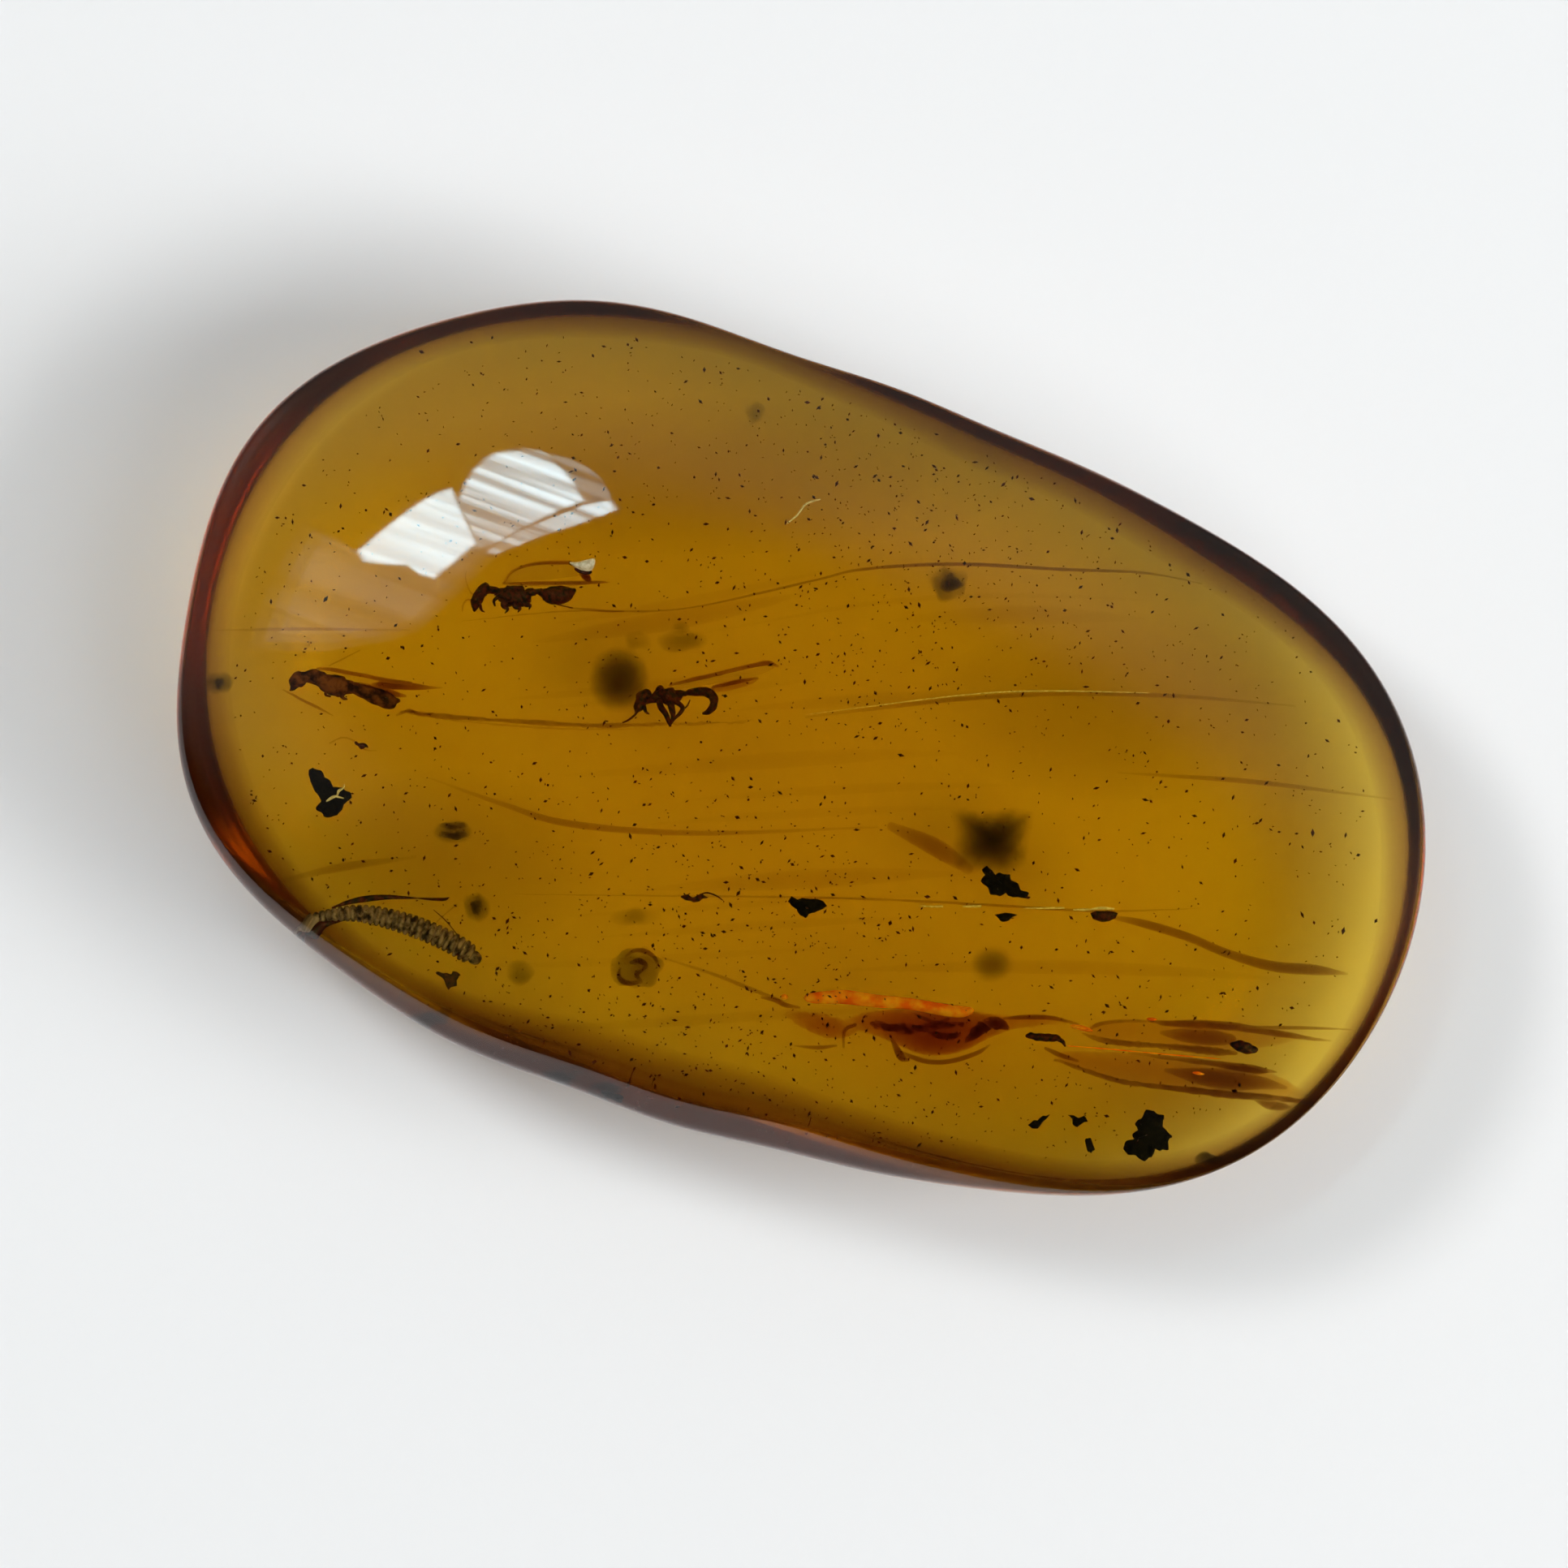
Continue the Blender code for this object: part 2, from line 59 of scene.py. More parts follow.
# How far the widest line is from the middle, every 15 degrees from +X towards +Y.
WIDEST = [14.0, 13.88, 12.88, 11.06, 9.56, 8.72, 8.5, 8.74, 9.65, 11.16, 12.5, 13.76,
          13.9, 13.64, 12.79, 11.0, 9.69, 8.69, 8.37, 8.39, 9.0, 10.2, 12.03, 13.45]
# Also every 15 degrees: how far inside it the edge of the back lies, and where the painted shade of the rim
# fades out.
BACK_INSET = [0.25, 0.35, 0.6, 0.75, 0.55, 0.45, 0.4, 0.3, 0.25, 0.45, 0.4, 0.6,
              0.5, 0.65, 0.9, 0.7, 0.95, 1.0, 1.0, 1.0, 0.95, 0.7, 0.4, 0.25]
RIM_FADES = [0.9, 1.3, 1.6, 1.8, 1.5, 1.4, 1.3, 1.1, 1.05, 1.35, 1.2, 1.45,
             1.3, 1.5, 1.8, 1.5, 1.9, 2.0, 2.0, 2.0, 1.9, 1.7, 1.3, 0.9]
# Every 30 degrees: how far inside it the edge of the face lies, and its own height.
FACE_INSET = [0.12, 0.12, 0.12, 0.1, 0.1, 0.12, 0.15, 0.35, 0.65, 0.7, 0.65, 0.15]
WIDEST_HEIGHT = [3.6, 3.8, 3.9, 3.7, 3.7, 3.8, 3.8, 3.5, 3.1, 2.9, 2.9, 3.4]
SNUG = 0.9955  # keeps the smooth stone within the box of the faceted solid
THICKNESS = 6.2
DOME_RADIUS_LONG = 70.0
DOME_RADIUS_ACROSS = 26.0
BEVEL_FALL = 1.15  # how far the bevel drops for each millimetre outwards
SHOULDER_INSET = 0.03
BACK_EDGE_HEIGHT = 1.2
BACK_CURVE = 4.2
FACE_CORNER, WIDEST_CORNER, BACK_CORNER = 0.25, 0.2, 0.5
STONE_COLUMNS = 384


def linear(colour):
    """An sRGB hex colour as linear RGBA: ((c + 0.055) / 1.055) ^ 2.4, or c / 12.92 if it is dark."""
    shares = np.array([int(colour[i:i + 2], 16) for i in (1, 3, 5)]) / 255
    light = np.where(shares > 0.04045, ((shares + 0.055) / 1.055) ** 2.4, shares / 12.92)
    return (*light.tolist(), 1.0)


def add(tree, kind, inputs=None, **settings):
    """Adds a node with its settings. Each of its inputs is given a value, or another node's output."""
    node = tree.nodes.new(kind)
    for name, value in settings.items():
        setattr(node, name, value)
    for name, value in (inputs or {}).items():
        if isinstance(value, bpy.types.NodeSocket):
            tree.links.new(value, node.inputs[name])
        else:
            node.inputs[name].default_value = value
    return node


def new_material(name, inputs):
    """A material with one Principled shader. It returns the material, its tree and the shader."""
    material = bpy.data.materials.new(name)
    material.use_nodes = True
    tree = material.node_tree
    shader = tree.nodes["Principled BSDF"]
    for socket, value in inputs.items():
        shader.inputs[socket].default_value = value
    return material, tree, shader


def skin(rings):
    """A closed surface from rings of points, (rings, columns, 3), whose first and last rings are each
    one point. Ring i joins ring i + 1 and its own start."""
    columns = rings.shape[1]
    points = np.concatenate([rings[:1, 0], rings[1:-1].reshape(-1, 3), rings[-1:, 0]])
    here = np.arange(columns)
    beside = np.roll(here, -1)
    row = 1 + columns * np.arange(len(rings) - 3)[:, None]
    quads = np.stack(np.broadcast_arrays(
        row + here, row + columns + here, row + columns + beside, row + beside), -1).reshape(-1, 4)
    tip, tail = len(points) - 1, 1 + columns * (len(rings) - 3)
    caps = np.concatenate([
        np.stack([0 * here, 1 + here, 1 + beside], -1),
        np.stack([0 * here + tip, tail + beside, tail + here], -1),
    ])
    return outwards(points, quads, caps)


def outwards(points, quads, caps):
    """The same surface with its faces turned round if it encloses a negative volume."""
    triangles = np.concatenate([quads[:, :3], quads[:, [0, 2, 3]], caps])
    if np.linalg.det(points[triangles]).sum() < 0:
        quads, caps = quads[:, ::-1], caps[:, ::-1]
    return points, quads, caps


def new_piece(name, place, skins, material, replaces=()):
    """One smooth mesh object from closed surfaces, which rides on the stone. With a place, in the
    layers' frame, it is moved there and turned with the layers: x cos a - y sin a, x sin a + y cos a.
    """
    points = np.concatenate([points for points, _, _ in skins])
    if place is not None:
        x, y, z = np.moveaxis(points + np.asarray(place), -1, 0)
        c, s = math.cos(LAYER_ANGLE), math.sin(LAYER_ANGLE)
        points = np.stack([x * c - y * s, x * s + y * c, z], axis=-1) - STONE_MIDDLE
    starts = np.cumsum([0] + [len(points) for points, _, _ in skins[:-1]])
    faces = []
    for start, (_, quads, caps) in zip(starts, skins):
        faces += (quads + start).tolist() + (caps + start).tolist()
    mesh = bpy.data.meshes.new(name)
    mesh.from_pydata((points * MM).tolist(), [], faces)
    mesh.shade_smooth()
    mesh.materials.append(material)
    piece = bpy.data.objects.new(name, mesh)
    bpy.context.scene.collection.objects.link(piece)
    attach(piece, "root")
    if replaces:
        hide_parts(*replaces)


def around(values, angle):
    """The smooth closed curve through evenly spaced values, as the sum of their Fourier waves."""
    waves = np.fft.rfft(values) / len(values)
    total = np.full_like(angle, waves[0].real)
    for turn in range(1, len(waves)):
        share = 1.0 if 2 * turn == len(values) else 2.0
        total += share * (waves[turn] * np.exp(1j * turn * angle)).real
    return total


def towards(start, end, length):
    """The point at this length along the line from start to end, or just short of its middle."""
    step = end - start
    whole = np.hypot(*step)
    return start + step * np.minimum(length, 0.45 * whole) / whole


def straight(start, end, count):
    """(1 - u) start + u end, without the end."""
    u = np.linspace(0, 1, count, endpoint=False)[:, None, None]
    return (1 - u) * start + u * end


def bend(start, corner, end, count):
    """A parabola round a corner: (1 - u)^2 start + 2 u (1 - u) corner + u^2 end, without the end."""
    u = np.linspace(0, 1, count, endpoint=False)[:, None, None]
    return (1 - u) ** 2 * start + 2 * u * (1 - u) * corner + u ** 2 * end


def stone_section(angle):
    """(rings, 2, angles): distance from the middle and height, from the face's middle to the back's.

    The face is the paraboloid THICKNESS - x^2 / 2 R1 - y^2 / 2 R2. A bevel leads from its edge to
    the shoulder, a steep wall from there to the widest line, a flank leans in from that to the
    back's edge, and the back flattens as a parabola. Each corner is rounded.
    """
    widest = around(WIDEST, angle) * SNUG
    height = around(WIDEST_HEIGHT, angle)
    face_edge = widest - around(FACE_INSET, angle)
    back_edge = widest - around(BACK_INSET, angle)
    curve = (np.cos(angle) ** 2 / DOME_RADIUS_LONG + np.sin(angle) ** 2 / DOME_RADIUS_ACROSS) / 2
    flat = np.zeros_like(curve)

    leaves = face_edge - FACE_CORNER
    u = np.linspace(0, 1, 40, endpoint=False)[:, None]
    dome = np.stack(np.broadcast_arrays(leaves * u, THICKNESS - curve * (leaves * u) ** 2), 1)
    face_start = np.stack([leaves, THICKNESS - curve * leaves ** 2])
    face = face_start + FACE_CORNER * np.stack([flat + 1, -2 * curve * leaves])
    shoulder = np.stack([
        widest - SHOULDER_INSET, face[1] - BEVEL_FALL * (widest - SHOULDER_INSET - face_edge)])
    middle = np.stack([widest, height])

    into = BACK_CORNER * 0.85
    slope = 2 * BACK_EDGE_HEIGHT / BACK_CURVE * (1 - into / BACK_CURVE)
    meets = BACK_EDGE_HEIGHT * (1 - into / BACK_CURVE) ** 2
    corner = np.stack([back_edge, flat + meets + slope * into])
    back_start = np.stack([back_edge - into, flat + meets])
    reach = np.linspace(into, BACK_CURVE, 24, endpoint=False)[:, None]
    back = np.stack(np.broadcast_arrays(
        back_edge - reach, flat + BACK_EDGE_HEIGHT * (1 - reach / BACK_CURVE) ** 2), 1)
    level = np.stack([back_edge - BACK_CURVE, flat])

    face_end = towards(face, shoulder, FACE_CORNER)
    bevel_end = towards(shoulder, face, FACE_CORNER)
    wall_start = towards(shoulder, middle, FACE_CORNER)
    wall_end = towards(middle, shoulder, WIDEST_CORNER)
    flank_start = towards(middle, corner, WIDEST_CORNER)
    flank_end = towards(corner, middle, BACK_CORNER)
    return np.concatenate([
        dome,
        bend(face_start, face, face_end, 12),
        straight(face_end, bevel_end, 6),
        bend(bevel_end, shoulder, wall_start, 12),
        straight(wall_start, wall_end, 6),
        bend(wall_end, middle, flank_start, 12),
        straight(flank_start, flank_end, 8),
        bend(flank_end, corner, back_start, 12),
        back,
        straight(level, np.stack([flat, flat]), 8),
        np.stack([flat, flat])[None],
    ])


def stone_rings(columns):
    """The section turned about the middle: x = distance cos a, y = distance sin a."""
    angle = np.linspace(0, 2 * math.pi, columns, endpoint=False)
    distance, height = np.moveaxis(stone_section(angle), 1, 0)
    return np.stack([distance * np.cos(angle), distance * np.sin(angle), height], -1) - STONE_MIDDLE


# Amber: a clear resin, IOR 1.54. It takes out blue within a millimetre and green more than red, so
# it is yellow where it is thin and red-brown where light goes far in it. The face was polished to a
# gloss, but the back and the foot of the flanks were only ground flat, and are matt.
amber, tree, shader = new_material("polished_amber", {
    "Base Color": (1.0, 1.0, 1.0, 1.0),
    "IOR": 1.54,
    "Transmission Weight": 1.0,
})
absorption = add(tree, "ShaderNodeVolumeAbsorption", {
    "Color": (0.975, 0.906, 0.42, 1.0),
    "Density": 1000.0,
})
tree.links.new(absorption.outputs["Volume"], tree.nodes["Material Output"].inputs["Volume"])
POLISHED, GROUND = 0.02, 0.24
where = add(tree, "ShaderNodeTexCoord")
parts = add(tree, "ShaderNodeSeparateXYZ", {"Vector": where.outputs["Object"]})
finish = add(tree, "ShaderNodeMapRange", {
    "Value": parts.outputs["Z"], "From Min": 1.4 * MM, "From Max": 2.6 * MM,
    "To Min": GROUND, "To Max": POLISHED})
tree.links.new(finish.outputs["Result"], shader.inputs["Roughness"])

new_piece("amber_stone", None, [skin(stone_rings(STONE_COLUMNS))], amber,
          replaces=("amber_top", "amber_bottom"))


def soaked(name, red, green, blue):
    """Darker matter in the resin: it has no surface of its own, and takes out this share of red,
    green and blue light per millimetre, as exp(-share x length)."""
    material, tree, shader = new_material(name, {
        "Base Color": (1.0, 1.0, 1.0, 1.0), "Roughness": 0.0, "IOR": 1.0, "Transmission Weight": 1.0})
    most = max(red, green, blue)
    dark = add(tree, "ShaderNodeVolumeAbsorption", {
        "Color": (1 - red / most, 1 - green / most, 1 - blue / most, 1.0), "Density": most / MM})
    tree.links.new(dark.outputs["Volume"], tree.nodes["Material Output"].inputs["Volume"])
    return material


def hoop(sections):
    """A closed ring from its cross-sections, (points, columns, 3), which join in both directions."""
    count, columns = sections.shape[:2]
    index = np.arange(count * columns).reshape(count, columns)
    down, beside = np.roll(index, -1, 0), np.roll(index, -1, 1)
    quads = np.stack([index, down, np.roll(down, -1, 1), beside], -1).reshape(-1, 4)
    return outwards(sections.reshape(-1, 3), quads, np.zeros((0, 3), int))


def rim_sections(columns):
    """A wedge inside the flank: it is thin where it fades out, and RIM_DEPTH deep at the back's edge.
    Its corners run up the flank from there, and home along the slope of the wedge."""
    angle = np.linspace(0, 2 * math.pi, columns, endpoint=False)
    widest = around(WIDEST, angle) * SNUG
    height = around(WIDEST_HEIGHT, angle)
    edge, fade = around(BACK_INSET, angle), around(RIM_FADES, angle)
    flat = np.zeros_like(angle)
    tip = BACK_EDGE_HEIGHT * (1 - (fade - edge) / BACK_CURVE) ** 2
    top = BACK_EDGE_HEIGHT + RIM_DEPTH
    corners = [
        (fade, tip + 0.08),
        (edge + 0.06, flat + BACK_EDGE_HEIGHT + 0.1),
        (flat + 0.08, height - 0.05),
        (flat + 0.1, height + 0.3),
        (edge, flat + top),
        (0.6 * fade + 0.4 * edge, 0.6 * tip + 0.4 * top + 0.05),
    ]
    return np.stack([
        np.stack([(widest - inset) * np.cos(angle), (widest - inset) * np.sin(angle), level], -1)
        for inset, level in corners]) - STONE_MIDDLE


# Painted shade: a wedge of darker resin inside the flank darkens the rim, in place of the light
# that the steep flanks hold back.
RIM_DEPTH = 2.4
dark_rim = soaked("painted_rim_shade", 0.40, 0.58, 0.6)
new_piece("dark_rim", None, [hoop(rim_sections(STONE_COLUMNS))], dark_rim)


# ---------------------------------------------------------------- the wasps
# Three small parasitic wasps that the resin caught on their sides, heads to the left, with their
# wings swept up and back. Their skins are dark brown chitin, and their wings clear film on veins.

def through(stations, t):
    """Catmull-Rom curve through stations: between b and c, with a before and d after, it is
    0.5 (2b + (c - a) u + (2a - 5b + 4c - d) u^2 + (3b - a - 3c + d) u^3)."""
    stations = np.asarray(stations, float)
    held = np.concatenate([
        2 * stations[:1] - stations[1:2], stations, 2 * stations[-1:] - stations[-2:-1]])
    start = np.minimum(t.astype(int), len(stations) - 2)
    u = (t - start)[:, None]
    a, b, c, d = (held[start + step] for step in range(4))
    return 0.5 * (2 * b + (c - a) * u + (2 * a - 5 * b + 4 * c - d) * u ** 2
                  + (3 * b - a - 3 * c + d) * u ** 3)


def lumpy(points, amount, wavelength, seed):
    """Points pushed by eight sine waves in random directions, each amount / sqrt 8 high."""
    draw = np.random.default_rng(seed)
    waves = draw.normal(size=(8, 3))
    waves *= 2 * math.pi / wavelength / np.linalg.norm(waves, axis=1, keepdims=True)
    push = draw.normal(size=(8, 3))
    return points + amount * np.sin(points @ waves.T + draw.uniform(0, 6.28, 8)) @ push / 8 ** 0.5


def strand(sides, stations, fine=5, flatness=1.0, uneven=0.0):
    """A tapering strand: circles of radius r(t) round the path p(t), both smooth through stations of
    (x, y, z, radius), closed by a half sphere at each end. It has this many sides, and fine rings for
    each station. Flatness squeezes it along z, or above 1 stands it up as a sheet. Uneven is the
    height of the lumps on it."""
    steps = np.linspace(0, len(stations) - 1, fine * (len(stations) - 1) + 1)
    line = through(stations, steps)
    path, radius = line[:, :3], np.maximum(line[:, 3], 0.003)
    cap = np.radians([0, 30, 60])
    ahead = np.gradient(path, axis=0)
    ahead /= np.linalg.norm(ahead, axis=1, keepdims=True)
    lead = path[0] - ahead[0] * radius[0] * np.cos(cap)[:, None]
    trail = (path[-1] + ahead[-1] * radius[-1] * np.cos(cap)[:, None])[::-1]
    path = np.concatenate([lead, path, trail])
    radius = np.concatenate([radius[0] * np.sin(cap), radius, (radius[-1] * np.sin(cap))[::-1]])
    ahead = np.concatenate([ahead[:1].repeat(3, 0), ahead, ahead[-1:].repeat(3, 0)])
    side = np.cross(ahead, (0.02, 0.03, 1.0))
    side /= np.linalg.norm(side, axis=1, keepdims=True)
    lift = np.cross(side, ahead)
    v = np.linspace(0, 2 * math.pi, sides, endpoint=False)[None, :, None]
    wall = np.cos(v) * side[:, None] + flatness * np.sin(v) * lift[:, None]
    rings = path[:, None] + radius[:, None, None] * wall
    return skin(lumpy(rings, uneven, 0.16, len(stations)))


def blade(thickness, bow, front, back, count=40):
    """A thin closed film between two edges of (x, y, z). From v = 0 to 2 pi it runs from the front edge
    to the back one and home, (1 - cos v) / 2 of the way, at a height of thickness / 2 sin v, and
    bows up by a half sine across. It narrows to a point at both ends."""
    def edge(stations):
        return through(stations, np.linspace(0, len(stations) - 1, count))
    front, back = edge(front)[:, None], edge(back)[:, None]
    v = np.linspace(0, 2 * math.pi, 24, endpoint=False)[None, :, None]
    share = (1 - np.cos(v)) / 2
    ends = np.minimum(np.arange(count), np.arange(count)[::-1])[:, None, None].clip(0, 3) / 3
    up = (thickness / 2 * np.sin(v) + bow * np.sin(math.pi * share)) * np.array([0, 0, 1])
    middle = (front + back) / 2
    across = (1 - share) * front + share * back
    return skin(np.where(ends > 0, middle + (across - middle) * ends ** 0.5, middle) + up * ends)


def mottled(name, inputs, dark, light, patch, detail=3.0, grain=None):
    """A material whose colour drifts between two in patches of this width. A grain is the width and
    the depth of a bump on it. All are in millimetres."""
    material, tree, shader = new_material(name, inputs)
    where = add(tree, "ShaderNodeTexCoord").outputs["Object"]
    noise = add(tree, "ShaderNodeTexNoise", {"Vector": where, "Scale": 1 / (patch * MM), "Detail": detail})
    steep = add(tree, "ShaderNodeMapRange", {
        "Value": noise.outputs["Fac"], "From Min": 0.38, "From Max": 0.62})
    colour = add(tree, "ShaderNodeMix", {
        "Factor": steep.outputs["Result"], 6: linear(dark), 7: linear(light)}, data_type="RGBA")
    tree.links.new(colour.outputs[2], shader.inputs["Base Color"])
    if grain:
        width, depth = grain
        rough = add(tree, "ShaderNodeTexNoise", {"Vector": where, "Scale": 1 / (width * MM), "Detail": 4.0})
        bump = add(tree, "ShaderNodeBump", {
            "Height": rough.outputs["Fac"], "Strength": 1.0, "Distance": depth * MM})
        tree.links.new(bump.outputs["Normal"], shader.inputs["Normal"])
    return material


# Chitin: a hard, glossy skin, nearly black, with maroon patches where it is thin.
chitin = mottled(
    "dark_chitin", {"Roughness": 0.4, "IOR": 1.56, "Specular IOR Level": 0.2},
    "#060102", "#4E181A", 0.09, grain=(0.06, 0.03))

# The left wasp lies deeper than the rest and is half dissolved, so its skin is brown and matt.
brown_chitin = mottled(
    "brown_chitin", {"Roughness": 0.6, "Specular IOR Level": 0.1},
    "#2C1008", "#7A4A34", 0.2)

# Wing film: chitin a few thousandths of a millimetre thick. Its veins are thicker and brown.
wing_film, tree, shader = new_material("wing_film", {
    "Base Color": linear("#6A3818"), "Roughness": 0.3, "IOR": 1.56, "Alpha": 0.10})
vein = soaked("wing_vein", 9.0, 15.0, 20.0)
membrane = soaked("wing_membrane", 3.0, 5.6, 9.0)

# Air under a lifted film scatters all light, so it is white.
white_air = mottled(
    "white_air_film", {"Roughness": 0.3, "IOR": 1.5},
    "#D8D4C8", "#FFFFFF", 0.1, grain=(0.1, 0.02))

UPPER_WASP = (-6.12, 3.59, 4.3)
new_piece("upper_wasp_body", UPPER_WASP, [
    strand(20, [(-.82, -.25, 0, .04), (-.8, -.14, 0, .1), (-.76, -.03, 0, .13), (-.69, .1, 0, .13),
        (-.6, .19, 0, .13), (-.49, .18, 0, .09), (-.36, .17, 0, .07), (-.26, .14, 0, .09)], uneven=.012),
    strand(20, [(-.3, .12, 0, .08), (-.2, .07, 0, .17), (-.04, .04, 0, .21), (.14, .03, 0, .21),
        (.28, .04, 0, .17), (.38, .1, 0, .09), (.48, .14, 0, .06), (.58, .13, 0, .06)], uneven=.02),
    strand(20, [(.54, .13, 0, .05), (.66, .1, 0, .11), (.8, .06, 0, .18), (.96, .05, 0, .2),
        (1.12, .07, 0, .19), (1.25, .11, 0, .13), (1.33, .15, 0, .05)], uneven=.01),
    strand(8, [(-.3, .04, .08, .05), (-.4, -.06, .12, .035), (-.38, -.16, .14, .02)]),
    strand(8, [(-.14, -.04, .08, .08), (-.2, -.16, .14, .06), (-.1, -.24, .16, .035),
        (-.16, -.32, .18, .012)]),
    strand(8, [(.04, -.06, .08, .08), (.06, -.18, .16, .06), (.16, -.22, .18, .04), (.12, -.3, .2, .012)]),
    strand(8, [(.2, -.04, .1, .07), (.3, -.14, .12, .06), (.38, -.16, .16, .035), (.36, -.24, .18, .014)]),
    strand(8, [(-.1, .2, .1, .06), (.06, .22, .12, .05), (.2, .18, .1, .04)]),
    strand(6, [(-.7, -.16, -.08, .04), (-.66, -.26, -.1, .025), (-.6, -.3, -.1, .01)]),
    strand(6, [(.66, -.04, .02, .012), (.9, -.12, .06, .014), (1.1, -.18, .08, .012),
        (1.3, -.22, .08, .012)]),
], chitin, replaces=("wasp_upper",))
new_piece("upper_wasp_feelers", UPPER_WASP, [
    strand(8, [(-.8, .06, .05, .022), (-.9, .12, .08, .022), (-.97, .26, .1, .018), (-1.02, .44, .12, .016),
        (-1, .6, .12, .012)]),
    strand(8, [(-.86, -.04, -.05, .03), (-.98, -.04, -.1, .024), (-1.06, -.14, -.12, .022),
        (-1.08, -.28, -.12, .02)]),
    strand(8, [(1.22, -.22, .1, .02), (1.7, -.26, .1, .03), (2.1, -.3, .1, .03), (2.4, -.3, .1, .02)]),
], vein)
new_piece("upper_wasp_wings", UPPER_WASP, [
    blade(.015, .05, [(-.16, .37, .1), (-.03, .55, .14), (.27, .7, .22), (.62, .76, .3), (1.2, .76, .44),
        (1.5, .72, .5)], [(-.16, .33, .1), (.2, .36, .12), (.6, .38, .18), (1, .42, .26), (1.4, .48, .36),
        (1.5, .6, .44)]),
    blade(.015, .03, [(-.1, .34, -.06), (.5, .35, -.06), (1.1, .36, -.06), (1.7, .36, -.06),
        (2.08, .33, -.06)], [(-.1, .26, -.06), (.5, .24, -.06), (1, .22, -.06), (1.5, .26, -.06),
        (2.06, .31, -.06)]),
], wing_film)
new_piece("upper_wasp_veins", UPPER_WASP, [
    strand(10, [(-.18, .34, .1, .03), (-.03, .55, .14, .035), (.27, .69, .22, .04), (.62, .75, .3, .045),
        (.95, .76, .38, .05), (1.24, .76, .46, .045)]),
    strand(10, [(-.2, .31, -.05, .03), (.2, .31, -.05, .04), (.62, .31, -.05, .045), (1.1, .31, -.05, .045),
        (1.5, .31, -.05, .045), (1.9, .32, -.05, .035), (2.1, .32, -.05, .015)]),
], vein)
new_piece("upper_wasp_wing_tip_air", UPPER_WASP, [
    blade(.03, .04, [(1.2, .8, 1.12), (1.36, .79, 1.14), (1.53, .83, 1.16), (1.7, .87, 1.16),
        (1.79, .86, 1.14)], [(1.24, .74, 1.12), (1.34, .68, 1.14), (1.5, .61, 1.16), (1.66, .6, 1.16),
        (1.76, .68, 1.14)]),
], white_air)
new_piece("upper_wasp_wing_tip", UPPER_WASP, [
    blade(.05, 0, [(1.3, .67, 1.06), (1.45, .63, 1.06), (1.6, .62, 1.06), (1.72, .6, 1.06)],
        [(1.34, .6, 1.06), (1.46, .54, 1.06), (1.6, .52, 1.06), (1.7, .54, 1.06)]),
    strand(8, [(1.24, .74, .5, .03), (1.34, .7, .8, .03), (1.4, .62, 1.05, .04)]),
], chitin)
new_piece("upper_wasp_wing_fold", UPPER_WASP, [
    strand(10, [(1.48, .52, .9, .05), (1.58, .46, .8, .09), (1.66, .4, .7, .05)]),
], vein)

LEFT_WASP = (-9.9, 1.81, 3.5)
new_piece("left_wasp_body", LEFT_WASP, [
    strand(16, [(-.95, -.1, 0, .07), (-.9, .01, 0, .15), (-.8, .08, 0, .16), (-.66, .12, 0, .12),
        (-.5, .13, 0, .15), (-.34, .08, 0, .16)], uneven=.02),
    strand(20, [(-.4, .1, 0, .12), (-.24, 0, 0, .19), (-.06, -.06, 0, .21), (.12, -.09, 0, .2),
        (.26, -.1, 0, .15), (.4, -.13, 0, .11)], uneven=.025),
    strand(20, [(.34, -.11, 0, .1), (.48, -.16, 0, .13), (.68, -.23, 0, .16), (.9, -.31, 0, .18),
        (1.1, -.39, 0, .18), (1.24, -.41, 0, .14), (1.32, -.4, 0, .06)], uneven=.01),
    strand(8, [(-.2, -.16, .06, .05), (-.24, -.26, .1, .03), (-.14, -.3, .12, .02)]),
    strand(8, [(.04, -.2, .06, .05), (.14, -.33, .1, .04), (.22, -.36, .12, .02)]),
], brown_chitin, replaces=("wasp_left",))
new_piece("left_wasp_veins", LEFT_WASP, [
    strand(10, [(-1.16, -.16, .1, .02), (-.94, -.27, .11, .03), (-.74, -.38, .12, .035),
        (-.4, -.54, .14, .035), (-.08, -.71, .16, .015)]),
    strand(8, [(-.16, .36, 0, .016), (.1, .48, -.02, .022), (.5, .68, -.04, .018)]),
    strand(10, [(-.42, .3, .1, .03), (-.08, .27, .1, .05), (.27, .2, .1, .05), (.6, .14, .1, .05),
        (.93, .07, .1, .05), (1.3, .01, .1, .05), (1.6, -.03, .1, .05)]),
    strand(12, [(.78, -.05, .05, .03), (1, -.06, .05, .1), (1.3, -.06, .05, .11), (1.68, -.1, .05, .08),
        (1.95, -.12, .05, .05), (2.3, -.13, .05, .012)]),
    strand(12, [(.5, -.02, .05, .03), (.8, -.14, .05, .08), (1.2, -.24, .05, .08), (1.5, -.3, .05, .03)]),
    strand(10, [(1, -.07, .05, .02), (1.3, -.07, .05, .05), (1.7, -.11, .05, .03), (2.1, -.12, .05, .01)]),
], vein)
new_piece("left_wasp_wings", LEFT_WASP, [
    blade(.02, .04, [(-.3, .28, .1), (.4, .18, .1), (.9, .07, .1), (1.6, -.03, .1), (2.1, -.1, .1)],
        [(-.3, .16, .1), (.3, .04, .1), (.8, -.08, .1), (1.3, -.14, .1), (2.06, -.14, .1)]),
], membrane)

